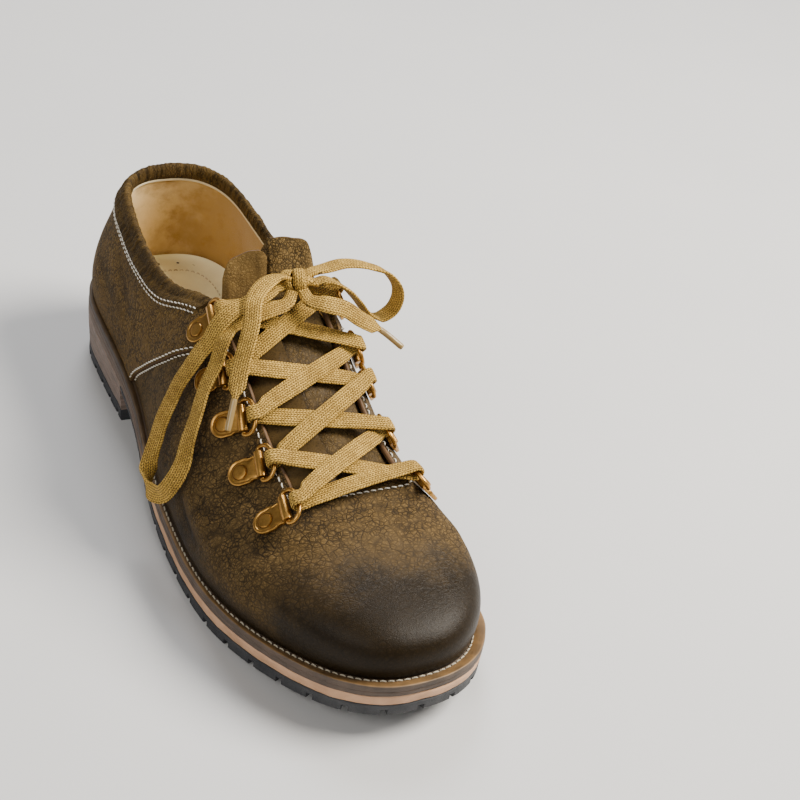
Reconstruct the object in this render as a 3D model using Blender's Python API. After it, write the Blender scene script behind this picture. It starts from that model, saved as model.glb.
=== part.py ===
"""Laced haferl shoe for the right foot, built as a maker would put it together.

Axes: the toe points to -Y, the heel to +Y, the inner (medial) side to +X, and up is +Z.
The shoe stands on the plane Z = 0, on its heel and on the ball of its outsole.
Sizes below are in millimetres; meshes are made in metres.
"""

import math
from collections import namedtuple

import bmesh
import bpy
import numpy as np
from mathutils import Matrix, Vector

MM = 0.001
GAP = 0.3  # clearance between two pieces that meet
PLAN_MIDDLE = (-0.905, 0.269)  # middle of the shoe's box in the tables below; it is moved to the origin

# Driving sizes of the shoe
OUTSOLE_LENGTH = 304.0
HEEL_MARGIN = 4.0  # welt shown behind the upper
TOE_MARGIN = 5.0  # welt shown in front of the upper
WALL = 2.2  # leather and lining of the upper together
WELT_THICK = 2.8
MIDSOLE_THICK = 2.4
TAN_MIDSOLE_THICK = 4.0
OUTSOLE_THICK = 5.2
WAIST_RUBBER_THICK = 2.2
INSOLE_THICK = 3.2

SOLE_LAYERS = (WELT_THICK, MIDSOLE_THICK, TAN_MIDSOLE_THICK)
WELT_INSIDE = WALL + 1.0  # how far the welt reaches inside the feather line
WAIST_END = (0.44, 0.58)  # between these places along the shoe the rubber grows to its full thickness
LUG_START = 0.50  # lugs run from here round the toe

HEEL_END = OUTSOLE_LENGTH / 2 - HEEL_MARGIN  # back of the feather line
TOE_END = -OUTSOLE_LENGTH / 2 + TOE_MARGIN  # front of the feather line
FEATHER_LENGTH = HEEL_END - TOE_END

# How the round forms are worked out and cut into faces
NUDGE = 0.002  # step along a surface when its normal is worked out
WELD = 0.01  # points closer than this are one point
SHARP = 40.0  # edges that bend more than this many degrees are sharp
FINE = 800  # steps along a line whose length is measured
SOLE_ROWS = 40
FAN_SPREAD = 20.0  # how much the profiles lean to the feather line's normal where they leave the opening
PERIMETER_STEPS = 72
# Where columns stand closer together: place along the shoe, breadth and extra density
CLOSER = ((0.47, 0.06, 2.4), (0.0, 0.06, 1.0))
PROFILE_STEPS = 9

Column = namedtuple("Column", "along lateral medial shift welt_lateral welt_medial")
# Feather line, where the upper meets the welt. along runs from heel (0) to toe (1);
# lateral and medial are half widths before the ends are rounded; shift moves the middle
# towards the medial side; welt_lateral and welt_medial are how far the welt stands out.
FEATHER = (
    Column(along=0.00, lateral=38.5, medial=34.5, shift=-2.0, welt_lateral=4.0, welt_medial=4.0),
    Column(along=0.18, lateral=40.0, medial=34.0, shift=-2.0, welt_lateral=4.0, welt_medial=4.0),
    Column(along=0.36, lateral=42.0, medial=30.0, shift=-1.5, welt_lateral=3.4, welt_medial=4.0),
    Column(along=0.50, lateral=48.5, medial=31.0, shift=-1.0, welt_lateral=2.8, welt_medial=4.6),
    Column(along=0.64, lateral=51.5, medial=39.0, shift=0.0, welt_lateral=2.8, welt_medial=5.6),
    Column(along=0.76, lateral=51.5, medial=43.5, shift=1.0, welt_lateral=3.0, welt_medial=6.2),
    Column(along=0.90, lateral=47.0, medial=46.5, shift=2.5, welt_lateral=3.8, welt_medial=6.2),
    Column(along=1.00, lateral=45.0, medial=45.5, shift=3.5, welt_lateral=5.0, welt_medial=5.0),
)
HEEL_ROUND = (0.14, 2.5)  # share of the length that is rounded, and its squareness
TOE_ROUND_LATERAL = (0.36, 2.3)
TOE_ROUND_MEDIAL = (0.25, 2.5)

SoleLine = namedtuple("SoleLine", "along top")
# Height of the welt's upper face above the floor, along the feather line.
SOLE_LINE = (
    SoleLine(along=-0.05, top=34.8),
    SoleLine(along=0.00, top=34.6),
    SoleLine(along=0.14, top=33.5),
    SoleLine(along=0.27, top=30.9),
    SoleLine(along=0.42, top=23.3),
    SoleLine(along=0.54, top=17.1),
    SoleLine(along=0.62, top=15.2),
    SoleLine(along=0.74, top=15.2),
    SoleLine(along=0.84, top=17.3),
    SoleLine(along=0.93, top=21.7),
    SoleLine(along=1.00, top=26.5),
    SoleLine(along=1.05, top=30.7),
)

Profile = namedtuple("Profile", "along edge middle half height lean rise slope reach")
# One wall profile of the upper per row, from the feather line up to the edge of the opening.
# edge: place of the opening's edge along the shoe; middle and half: its middle and half width;
# height: above the floor; lean and rise: angle outward and pull of the wall as it leaves the welt;
# slope and reach: angle below level and pull of the wall as it leaves the opening's edge.
PROFILES = (
    Profile(along=0.00, edge=0.012, middle=-2.0, half=28.5, height=85.0, lean=17, rise=20, slope=82, reach=22),
    Profile(along=0.10, edge=0.100, middle=-2.0, half=29.6, height=81.8, lean=13, rise=19, slope=80, reach=20),
    Profile(along=0.24, edge=0.235, middle=-2.0, half=32.0, height=78.0, lean=8, rise=18, slope=78, reach=18),
    Profile(along=0.34, edge=0.335, middle=-2.0, half=31.0, height=79.6, lean=4, rise=20, slope=66, reach=18),
    Profile(along=0.43, edge=0.425, middle=-2.0, half=26.0, height=89.0, lean=3, rise=26, slope=52, reach=22),
    Profile(along=0.47, edge=0.465, middle=-1.8, half=24.0, height=92.0, lean=3, rise=28, slope=46, reach=24),
    Profile(along=0.56, edge=0.560, middle=-1.0, half=22.8, height=83.5, lean=5, rise=30, slope=44, reach=24),
    Profile(along=0.65, edge=0.660, middle=0.5, half=23.2, height=69.4, lean=8, rise=28, slope=46, reach=26),
    Profile(along=0.74, edge=0.728, middle=2.2, half=24.0, height=63.4, lean=12, rise=26, slope=46, reach=30),
    Profile(along=0.88, edge=0.758, middle=2.2, half=27.5, height=61.8, lean=15, rise=26, slope=36, reach=38),
    Profile(along=1.00, edge=0.762, middle=2.2, half=26.5, height=62.2, lean=14, rise=28, slope=27, reach=46),
)


# Rear quarter: leather wrapped round the heel over the upper, up to the collar band
QUARTER_THICK = 1.2
QUARTER_CLEAR = 1.0  # between it and the upper
Seam = namedtuple("Seam", "share along")
# Front edge of the rear quarter, from the welt up to the throat.
QUARTER_SEAM = (
    Seam(share=0.00, along=0.318),
    Seam(share=0.14, along=0.334),
    Seam(share=0.40, along=0.388),
    Seam(share=0.60, along=0.446),
    Seam(share=0.74, along=0.484),
    Seam(share=0.88, along=0.512),
    Seam(share=1.00, along=0.530),
)
QUARTER_FOOT = 0.012  # share of the wall left free above the welt
QUARTER_BELOW = 1.0  # between its top and the collar band
QUARTER_PASSES = 3  # rounds of fitting its rows under the band
QUARTER_STEPS = 42
QUARTER_ROWS = 6

# Collar band: padded leather folded over the top edge of the wall
BAND_THICK = 1.6
BAND_INSIDE = 7.0  # how far it reaches down inside the shoe
BAND_ROUND = 2.4  # height of its round top above the wall
BAND_SHOULDER = 0.4  # share of that height at its two shoulders
BAND_FRONT = 0.44  # where it ends, along the shoe
Band = namedtuple("Band", "along drop")
# How far the band reaches down outside the shoe.
BAND_DROP = (
    Band(along=0.00, drop=9.0),
    Band(along=0.20, drop=10.0),
    Band(along=0.30, drop=8.5),
    Band(along=0.40, drop=6.0),
    Band(along=0.47, drop=4.5),
)
BAND_STEPS = 26

# Tongue
TONGUE_THICK = 2.0
TONGUE_CLEAR = 0.45  # between the tongue and the wall above it
TONGUE_TUCK_CLEAR = 0.63  # the same at its tucked front
TongueRow = namedtuple("TongueRow", "along crown")
# Rows of the tongue under the throat: how far its middle stands above the throat's edges.
TONGUE_ROWS = (
    TongueRow(along=0.740, crown=4.0),
    TongueRow(along=0.700, crown=4.2),
    TongueRow(along=0.650, crown=4.6),
    TongueRow(along=0.600, crown=5.0),
    TongueRow(along=0.555, crown=5.4),
    TongueRow(along=0.515, crown=5.8),
    TongueRow(along=0.480, crown=6.2),
)
TONGUE_TUCK = (1.0, 0.86)  # shares of the vamp under which the tongue's front ends
TONGUE_FRONT = 0.82  # along, where the tongue's front corners lie
TONGUE_ACROSS = (0.86, 0.93, 1.0)  # shares of the wall under which its sides lie
TONGUE_ARCH = (-0.6, -0.2, 0.2, 0.6)  # places across the throat, -1 and 1 being its edges
TongueLobe = namedtuple("TongueLobe", "across half top lean")
# Top of the tongue: two rounded lobes with a notch between them.
TONGUE_TOP = (
    TongueLobe(across=-1.0, half=17.5, top=103.0, lean=12.0),
    TongueLobe(across=-0.8, half=18.5, top=109.5, lean=13.0),
    TongueLobe(across=-0.35, half=19.0, top=114.5, lean=13.0),
    TongueLobe(across=0.05, half=19.0, top=109.5, lean=11.5),
    TongueLobe(across=0.5, half=19.0, top=114.0, lean=13.5),
    TongueLobe(across=0.8, half=18.5, top=111.0, lean=13.0),
    TongueLobe(across=1.0, half=17.5, top=104.0, lean=12.0),
)
Rise = namedtuple("Rise", "inward back up")
# How far the rows of the free top have drawn in, leant back and risen, as shares of the whole way.
TONGUE_RISE = (
    Rise(inward=0.72, back=0.26, up=0.13),
    Rise(inward=0.85, back=0.52, up=0.36),
    Rise(inward=0.94, back=0.77, up=0.67),
    Rise(inward=1.0, back=1.0, up=1.0),
)

# Heel
HEEL_BREAST = 0.285  # front of the heel, along the shoe
BREAST_GAP = 0.002  # between the heel's front and the outsole's back, along the shoe
LIFT_COUNT = 5
TOP_PIECE_THICK = 6.0
HEEL_TAPER = 1.6  # how much the heel draws in from top to floor

# Lugs cut into the edges of the rubber
LUG_PITCH = 15.0
NOTCH_WIDTH = 2.6
NOTCH_HEIGHT = 2.8
NOTCH_DEPTH = 9.0
NOTCH_OVER = 1.5  # how far a notch is cut past the rubber's faces
HEEL_LUG_PITCH = 12.0
HEEL_LUG_END = 0.265  # along the shoe

# Lacing hardware: a riveted plate rolled round a D-ring at its end
PLATE_HALF = 5.8
PLATE_THICK = 1.2
PLATE_CLEAR = 0.7  # below the plate's middle, so that its ends clear the curved wall
RIVET_RADIUS = 3.2
RIVET_HEIGHT = 0.8
RivetStep = namedtuple("RivetStep", "radius height")
# Round head of a rivet, as shares of its radius and height.
RIVET_STEPS = (
    RivetStep(radius=1.0, height=0.0),
    RivetStep(radius=0.9, height=0.8),
    RivetStep(radius=0.45, height=1.0),
)
BARREL_RADIUS = 2.0
BARREL_REACH = 9.6  # from the rivet to the barrel's axis
WIRE_RADIUS = 0.9
WIRE_AROUND = 5
RING_TILT = 10.0  # degrees that the ring stands up from its plate
PLATE_ROUND = 7  # points round a plate's free end, round its barrel and round its rivet
BARREL_ROUND = 8
RIVET_AROUND = 8
PLATE_TILT = 0.15  # how much the plates point to the toe
Hook = namedtuple("Hook", "lateral medial share raise_by")
# Rivets of the five plates of a side, from the toe up; the top one sits on the rear quarter.
HOOKS = (
    Hook(lateral=0.792, medial=0.790, share=0.82, raise_by=0.0),
    Hook(lateral=0.671, medial=0.660, share=0.79, raise_by=0.0),
    Hook(lateral=0.602, medial=0.585, share=0.78, raise_by=0.0),
    Hook(lateral=0.541, medial=0.535, share=0.77, raise_by=0.0),
    Hook(lateral=0.482, medial=0.468, share=0.87, raise_by=2.3),
)
RingBend = namedtuple("RingBend", "across reach")
# Half of a D-ring from its end beside the barrel to its middle.
RING_BENDS = (
    RingBend(across=6.15, reach=0.0),
    RingBend(across=6.6, reach=0.0),
    RingBend(across=7.3, reach=1.3),
    RingBend(across=6.9, reach=4.0),
    RingBend(across=4.6, reach=6.0),
    RingBend(across=0.0, reach=6.5),
)

# Lace: one flat woven band
LACE_WIDTH = 7.7
LACE_THICK = 1.4
LACE_GATHER = 0.84  # share of its width where it goes through a ring
LACE_WRAP = WIRE_RADIUS + LACE_THICK / 2 + 0.8  # middle of the lace to the middle of the wire it turns round
LACE_ARCH = 1.6  # how far a strand stands up between two rings
LACE_STACK = 1.2  # how far strands are moved apart where they cross
LACE_TURNS = (-45, 0, 45, 90, 135)  # degrees round a ring's wire
LACE_SPAN = (0.2, 0.5, 0.8)  # places between two rings
Strand = namedtuple("Strand", "side number raised")
# The lace's way from ring to ring; raised tells how its strand from there on crosses another.
LACE_ROUTE = (
    Strand(side=-1, number=5, raised=-1),
    Strand(side=1, number=4, raised=1),
    Strand(side=-1, number=3, raised=-1),
    Strand(side=1, number=2, raised=1),
    Strand(side=-1, number=1, raised=0),
    Strand(side=1, number=1, raised=-1),
    Strand(side=-1, number=2, raised=1),
    Strand(side=1, number=3, raised=-1),
    Strand(side=-1, number=4, raised=1),
    Strand(side=1, number=5, raised=0),
)
Bend = namedtuple("Bend", "x y z")
KNOT = Bend(x=6, y=2, z=107)
KNOT_SIZE = Bend(x=7.5, y=7.0, z=4.5)
KNOT_ROUND = (12, 6)  # faces round the knot and from top to bottom
LACE_ENDS = (Bend(x=-1, y=4, z=104), Bend(x=13, y=4, z=104))  # beside the knot
CORD_FINE = 2  # pieces of ribbon between two bends
AGLET_RADIUS = 1.3
AGLET_AROUND = 8
AGLET_GAP = 0.7  # from the end of the weave to its tip's sleeve
# Loops and ends of the bow, each from the knot on
LOOP_FROM_KNOT = (
    Bend(x=-3, y=3, z=107),
    Bend(x=-8, y=0, z=107),
    Bend(x=-18, y=-4, z=105),
    Bend(x=-25, y=-6, z=104),
    Bend(x=-31, y=-7, z=99),
)
Hang = namedtuple("Hang", "along share off")
# The lateral loop down the side wall and up again: place on the wall, and how far off it.
LOOP_HANG = (
    Hang(along=0.520, share=0.92, off=9),
    Hang(along=0.522, share=0.86, off=9),
    Hang(along=0.524, share=0.76, off=8),
    Hang(along=0.524, share=0.66, off=7),
    Hang(along=0.526, share=0.55, off=6),
    Hang(along=0.529, share=0.44, off=6),
    Hang(along=0.534, share=0.33, off=6),
    Hang(along=0.541, share=0.23, off=7),
    Hang(along=0.551, share=0.17, off=8),
    Hang(along=0.572, share=0.15, off=9),
    Hang(along=0.600, share=0.20, off=7),
    Hang(along=0.612, share=0.32, off=6),
    Hang(along=0.606, share=0.45, off=5),
    Hang(along=0.592, share=0.56, off=6),
    Hang(along=0.578, share=0.68, off=7),
    Hang(along=0.561, share=0.80, off=8),
    Hang(along=0.549, share=0.90, off=8),
)
LOOP_TO_KNOT = (
    Bend(x=-30, y=-12, z=96),
    Bend(x=-25, y=-8, z=98),
    Bend(x=-18, y=-8, z=101),
    Bend(x=-9, y=-7, z=103),
    Bend(x=-1, y=-5, z=104),
)
LOOP_MEDIAL = (
    Bend(x=14, y=2, z=108),
    Bend(x=18, y=1, z=109),
    Bend(x=26, y=-2, z=106),
    Bend(x=32, y=-2, z=100),
    Bend(x=38, y=-3, z=93),
    Bend(x=44, y=-3, z=90),
    Bend(x=48, y=-4, z=93),
    Bend(x=50, y=-5, z=99),
    Bend(x=49, y=-5, z=106),
    Bend(x=45, y=-2, z=111),
    Bend(x=38, y=2, z=113),
    Bend(x=28, y=6, z=113),
    Bend(x=20, y=7, z=111),
    Bend(x=12, y=6, z=110),
)
END_LATERAL = (
    Bend(x=-1, y=4, z=111),
    Bend(x=-5, y=2, z=112),
    Bend(x=-12, y=-2, z=111),
    Bend(x=-17, y=-7, z=109),
    Bend(x=-21, y=-16, z=103),
    Bend(x=-28, y=-26, z=90),
    Bend(x=-32, y=-33, z=82),
)
TIP_LATERAL = Bend(x=-37, y=-41, z=71)
END_MEDIAL = (
    Bend(x=8, y=-6, z=105),
    Bend(x=13, y=-12, z=106),
    Bend(x=21, y=-14, z=104),
    Bend(x=28, y=-15, z=99),
    Bend(x=40, y=-15, z=91),
)
TIP_MEDIAL = Bend(x=48, y=-20, z=85)
Cord = namedtuple("Cord", "name bends faces")
# Loose parts of the lace, and the direction that the flat side of each faces.
CORDS = (
    Cord(name="lace_end_lateral", bends=END_LATERAL, faces=(-0.35, -0.35, 0.85)),
    Cord(name="lace_end_medial", bends=END_MEDIAL, faces=(0.25, -0.45, 0.85)),
)
LOOP_FACES = (-0.75, -0.25, 0.6)  # way that the lateral loop's flat side faces
LOOP_MEDIAL_AXIS = (0.0, -0.96, 0.28)  # square to the plane of the medial loop


def through(rows, at):
    """Smooth curve through a table's rows, its first column being the knots.

    Returns an array with one column of values for each further column of the table.
    """
    table = np.array(rows, float)
    knots, values = table[:, 0], table[:, 1:]
    slopes = np.gradient(values, knots, axis=0)
    at = np.atleast_1d(np.asarray(at, float))
    low = np.clip(np.searchsorted(knots, at, side="right") - 1, 0, len(knots) - 2)
    span = (knots[low + 1] - knots[low])[:, None]
    s = (at[:, None] - knots[low][:, None]) / span
    return (
        (1 + 2 * s) * (1 - s) ** 2 * values[low]
        + s * (1 - s) ** 2 * span * slopes[low]
        + s * s * (3 - 2 * s) * values[low + 1]
        + s * s * (s - 1) * span * slopes[low + 1]
    )


def rounded_end(distance, reach, square):
    """Share of the full width near a rounded end: 0 at the end, 1 past the rounding."""
    inside = np.clip(1 - np.asarray(distance, float) / reach, 0, 1)
    return (1 - inside**square) ** (1 / square)


def turn_at(along, side):
    """Share of the way round the shoe, from the heel's back by the lateral side to the toe and back."""
    turn = np.arccos(1 - 2 * np.asarray(along, float)) / (2 * np.pi)
    return np.where(np.asarray(side) < 0, turn, 1 - turn)


def place_at(turn):
    """Place along the shoe (0 heel, 1 toe) and side (-1 lateral, +1 medial) at a share of the way round."""
    turn = np.mod(np.asarray(turn, float), 1.0)
    return (1 - np.cos(2 * np.pi * turn)) / 2, np.where(turn <= 0.5, -1.0, 1.0)


def end_rounding(along, side):
    """Share of the full half width left by the heel's and the toe's rounding."""
    heel = rounded_end(along, *HEEL_ROUND)
    toe_lateral = rounded_end(1 - along, *TOE_ROUND_LATERAL)
    toe_medial = rounded_end(1 - along, *TOE_ROUND_MEDIAL)
    return heel * np.where(side < 0, toe_lateral, toe_medial)


def sole_height(y):
    """Height of the welt's upper face at a place along the shoe."""
    return through(SOLE_LINE, (HEEL_END - np.asarray(y, float)) / FEATHER_LENGTH)[:, 0]


def feather_line(turn):
    """Feather line in plan."""
    along, side = place_at(turn)
    lateral, medial, shift = through(FEATHER, along).T[:3]
    half = np.where(side < 0, lateral, medial) * end_rounding(along, side)
    return np.stack([shift + side * half, HEEL_END - along * FEATHER_LENGTH], axis=1)


def outward(turn):
    """Outward normals of the feather line in plan."""
    turn = np.asarray(turn, float)
    ahead = feather_line(turn + NUDGE) - feather_line(turn - NUDGE)
    ahead /= np.linalg.norm(ahead, axis=1)[:, None]
    return np.stack([ahead[:, 1], -ahead[:, 0]], axis=1)


def sole_outline(turn, inset=0.0):
    """Edge of the sole in plan, taken in by inset."""
    along, side = place_at(turn)
    welt_lateral, welt_medial = through(FEATHER, along).T[3:]
    margin = np.where(side < 0, welt_lateral, welt_medial)
    return feather_line(turn) + outward(turn) * (margin - inset)[:, None]


def upper_surface(turn, rows):
    """Outer face of the upper as a grid [round the shoe, feather to edge, xyz].

    rows holds the shares of each profile, 0 at the feather line and 1 at the opening's edge.
    """
    along, side = place_at(turn)
    feather, out = feather_line(turn), np.pad(outward(turn), ((0, 0), (0, 1)))
    edge, middle, half, height, lean, rise, slope, reach = through(PROFILES, along).T
    base = np.column_stack([feather, sole_height(feather[:, 1]) + GAP])
    across = middle + side * half * end_rounding(along, side)
    top = np.column_stack([across, HEEL_END - edge * FEATHER_LENGTH, height])
    lean, slope = np.radians(lean)[:, None], np.radians(slope)[:, None]
    fan = (base - top) * (1.0, 1.0, 0.0) + out * FAN_SPREAD
    fan /= np.linalg.norm(fan, axis=1)[:, None]
    up = np.array([[0.0, 0.0, 1.0]])
    low_pull = base + rise[:, None] * (out * np.sin(lean) + up * np.cos(lean))
    high_pull = top + reach[:, None] * (fan * np.cos(slope) - up * np.sin(slope))
    s = np.asarray(rows, float)[None, :, None]
    base, low_pull, high_pull, top = (p[:, None, :] for p in (base, low_pull, high_pull, top))
    return (
        (1 - s) ** 3 * base
        + 3 * s * (1 - s) ** 2 * low_pull
        + 3 * s * s * (1 - s) * high_pull
        + s**3 * top
    )


def even_turns(first, last, count):
    """Turns spaced evenly along the feather line, but closer together at the tight curves."""
    fine = np.linspace(first, last, FINE)
    steps = np.linalg.norm(np.diff(feather_line(fine), axis=0), axis=1)
    for place, breadth, extra in CLOSER:
        steps = steps * (1 + extra * np.exp(-(((place_at(fine[1:])[0] - place) / breadth) ** 2)))
    run = np.concatenate([[0], np.cumsum(steps)])
    return np.interp(np.linspace(0, run[-1], count), run, fine)


def surface_normals(turn, rows):
    """Outward normals of the upper's outer face, as a grid like upper_surface."""
    turn, rows = np.asarray(turn, float), np.asarray(rows, float)
    across = upper_surface(turn + NUDGE, rows) - upper_surface(turn - NUDGE, rows)
    up = upper_surface(turn, rows + NUDGE) - upper_surface(turn, rows - NUDGE)
    normals = np.cross(across, up)
    return normals / np.linalg.norm(normals, axis=2)[:, :, None]


def upper_offset(turn, rows, lift):
    """Surface that runs lift outside the upper's outer face."""
    return upper_surface(turn, rows) + surface_normals(turn, rows) * lift


def add_mesh(name, points, faces, material):
    """New object from points in millimetres, shaded smooth but for its sharp edges."""
    mesh = bpy.data.meshes.new(name)
    mesh.from_pydata([tuple(p) for p in np.asarray(points, float) * MM], [], faces)
    mesh.validate()
    shape = bmesh.new()
    shape.from_mesh(mesh)
    bmesh.ops.recalc_face_normals(shape, faces=shape.faces)
    shape.to_mesh(mesh)
    shape.free()
    return add_piece(name, mesh, material)


def add_piece(name, mesh, material):
    """New object with the given mesh."""
    mesh.shade_smooth()
    mesh.set_sharp_from_angle(angle=math.radians(SHARP))
    mesh.materials.clear()
    mesh.materials.append(material)
    piece = bpy.data.objects.new(name, mesh)
    bpy.context.scene.collection.objects.link(piece)
    return piece


def finish(name, colour, roughness, metallic=0.0):
    """Material of one piece."""
    made = bpy.data.materials.new(name)
    made.use_nodes = True
    shader = made.node_tree.nodes["Principled BSDF"]
    shader.inputs["Base Color"].default_value = (*colour, 1.0)
    shader.inputs["Roughness"].default_value = roughness
    shader.inputs["Metallic"].default_value = metallic
    return made


def tube_faces(sections, around, closed):
    """Quads between sections of equal size, capped at both ends or closed into a ring."""
    faces = []
    for i in range(sections if closed else sections - 1):
        here, there = i * around, (i + 1) % sections * around
        for j in range(around):
            k = (j + 1) % around
            faces.append((here + j, here + k, there + k, there + j))
    if not closed:
        faces.append(tuple(range(around)))
        faces.append(tuple((sections - 1) * around + j for j in range(around)))
    return faces


def add_sections(name, sections, material, closed=False):
    """Solid swept through sections, an array [section, point, xyz]."""
    count, around = sections.shape[:2]
    return add_mesh(name, sections.reshape(-1, 3), tube_faces(count, around, closed), material)


def sheet_sections(outer, inner):
    """Sections of a sheet between two grids of points."""
    return np.concatenate([outer, inner[:, ::-1]], axis=1)


def make_upper(leather):
    """Vamp and quarters: one hollow wall, open at collar and throat, and underneath."""
    turn = even_turns(0, 1, PERIMETER_STEPS + 1)[:-1]
    rows = np.linspace(0, 1, PROFILE_STEPS + 1)
    sections = sheet_sections(upper_surface(turn, rows), upper_offset(turn, rows, -WALL))
    add_sections("upper", sections, leather, closed=True)


def share_below_edge(turn, drop):
    """Share of each profile that lies drop below the opening's edge, measured along the wall."""
    rows = np.linspace(0, 1, FINE // 10 + 1)
    grid = upper_surface(turn, rows)
    steps = np.linalg.norm(np.diff(grid, axis=1), axis=2)
    length = np.concatenate([np.zeros((len(turn), 1)), np.cumsum(steps, axis=1)], axis=1)
    wanted = length[:, -1] - drop
    return np.array([np.interp(w, line, rows) for w, line in zip(wanted, length)])


def at_shares(turn, shares, lift):
    """Points lift outside the upper, with shares of its own for each place round the shoe."""
    return np.array([upper_offset([t], s, lift)[0] for t, s in zip(turn, shares)])


def make_rear_quarter(leather):
    """Leather wrapped round the heel, from the seam of one side to that of the other."""
    widest = float(turn_at(QUARTER_SEAM[-1].along, -1))
    sweep = even_turns(-widest, widest, QUARTER_STEPS + 1) / widest
    seam = np.linspace(0.0, 1.0, QUARTER_ROWS)
    turns, shares = [], []
    for w in sweep:
        rows = seam.copy()
        for _ in range(QUARTER_PASSES):
            along = through(QUARTER_SEAM, rows)[:, 0]
            turn = np.sign(w) * turn_at(along, -1) * abs(w)
            middle = np.array([turn[-1]])
            drop = through(BAND_DROP, place_at(middle)[0])[:, 0] + QUARTER_BELOW
            top = share_below_edge(middle, drop)[0]
            rows = QUARTER_FOOT + (top - QUARTER_FOOT) * seam
        turns.append(turn)
        shares.append(rows)
    turns, shares = np.array(turns), np.array(shares)

    def skin(lift):
        return np.array(
            [[upper_offset([t], [s], lift)[0, 0] for t, s in zip(*line)] for line in zip(turns, shares)]
        )

    sections = sheet_sections(skin(QUARTER_CLEAR + QUARTER_THICK), skin(QUARTER_CLEAR))
    add_sections("rear_quarter", sections, leather)


def make_collar_band(leather):
    """Padded band folded over the collar's edge, outside and inside."""
    front = float(turn_at(BAND_FRONT, -1))
    turn = even_turns(-front, front, BAND_STEPS + 1)
    drop = through(BAND_DROP, place_at(turn)[0])[:, 0]
    low, inside = share_below_edge(turn, drop), share_below_edge(turn, np.full(len(turn), BAND_INSIDE))
    outer_rows = np.stack([low, (low + 1) / 2, np.ones_like(low)], axis=1)
    inner_rows = np.stack([np.ones_like(low), (inside + 1) / 2, inside], axis=1)
    clear = TONGUE_CLEAR
    out_face = at_shares(turn, outer_rows, clear + BAND_THICK)
    out_back = at_shares(turn, outer_rows, clear)
    in_back = at_shares(turn, inner_rows, -WALL - clear)
    in_face = at_shares(turn, inner_rows, -WALL - clear - BAND_THICK)
    up = upper_surface(turn, [1.0]) - upper_surface(turn, [1.0 - NUDGE])
    up /= np.linalg.norm(up, axis=2)[:, :, None]
    crest = (out_back[:, -1:] + in_back[:, :1]) / 2
    arch = np.concatenate([out_face[:, -1:] + up * BAND_ROUND * BAND_SHOULDER, crest + up * BAND_ROUND], axis=1)
    fall = in_face[:, :1] + up * BAND_ROUND * BAND_SHOULDER
    seat = np.concatenate([in_back[:, :1] + up * clear, out_back[:, -1:] + up * clear], axis=1)
    sections = np.concatenate(
        [out_face, arch, fall, in_face, in_back[:, :0:-1], seat, out_back[:, -2::-1]], axis=1
    )
    add_sections("collar_band", sections, leather)


def throat_row(row):
    """Points across the tongue at a row of its table, with the outer face's height."""
    sides = []
    for side in (-1, 1):
        turn = np.atleast_1d(turn_at(row.along, side))
        sides.append(upper_offset(turn, TONGUE_ACROSS, -WALL - TONGUE_CLEAR)[0])
    left, right = sides[0][-1], sides[1][-1]
    across = np.array(TONGUE_ARCH)[:, None]
    arch = (left + right) / 2 + across * (right - left) / 2
    arch[:, 2] += row.crown * (1 - across[:, 0] ** 2)
    return np.concatenate([sides[0], arch, sides[1][::-1]])


def tongue_rows():
    """Rows of the tongue's outer face, from its tucked front to the top of its lobes."""
    rows = []
    count = 2 * len(TONGUE_ACROSS) + len(TONGUE_ARCH)
    start = float(turn_at(TONGUE_FRONT, -1))
    turn = np.linspace(start, 1 - start, count)
    for share in reversed(TONGUE_TUCK):
        rows.append(upper_offset(turn, [share], -WALL - TONGUE_TUCK_CLEAR)[:, 0])
    rows += [throat_row(row) for row in TONGUE_ROWS]
    last = rows[-1]
    places = np.linspace(-1, 1, count)
    half, top, lean = through([tuple(r) for r in TONGUE_TOP], places).T
    middle = last[:, 0].mean()
    for rise in TONGUE_RISE:
        row = last.copy()
        row[:, 0] += rise.inward * (middle + places * half - last[:, 0])
        row[:, 1] += rise.back * lean
        row[:, 2] += rise.up * (top - last[:, 2])
        rows.append(row)
    return np.array(rows)


def make_tongue(leather):
    """Soft sheet under the throat whose two lobes stand above the collar."""
    outer = tongue_rows()
    across = np.gradient(outer, axis=1)
    along = np.gradient(outer, axis=0)
    normals = np.cross(along, across)
    normals /= np.linalg.norm(normals, axis=2)[:, :, None]
    normals *= np.sign(normals[:, :, 2:])
    add_sections("tongue", sheet_sections(outer, outer - normals * TONGUE_THICK), leather)


def strip_outline(back, front, inset=0.0):
    """Plan of a stretch of the sole as rows that run across it, an array [row, lateral or medial, xy].

    back and front are places along the sole, 0 being the heel's end and 1 the toe's.
    """
    turn = np.linspace(0, 0.5, FINE)
    lateral, medial = sole_outline(turn, inset), sole_outline(1 - turn, inset)
    heel, toe = lateral[0, 1], lateral[-1, 1]
    rows = max(4, round(SOLE_ROWS * (front - back)))
    angle = np.linspace(math.acos(1 - 2 * back), math.acos(1 - 2 * front), rows)
    y = heel + (toe - heel) * (1 - np.cos(angle)) / 2
    sides = [np.column_stack([np.interp(-y, -side[:, 1], side[:, 0]), y]) for side in (lateral, medial)]
    return np.stack(sides, axis=1)


def at_height(plan, z):
    """Rows of a plan raised to a height, given for each point or for all."""
    z = np.broadcast_to(np.asarray(z, float), plan.shape[:2])
    return np.concatenate([plan, z[:, :, None]], axis=2)


def sole_heights(plan):
    """Height of the welt's upper face at each point of a plan's rows."""
    return sole_height(plan[:, :, 1].ravel()).reshape(plan.shape[:2])


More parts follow.
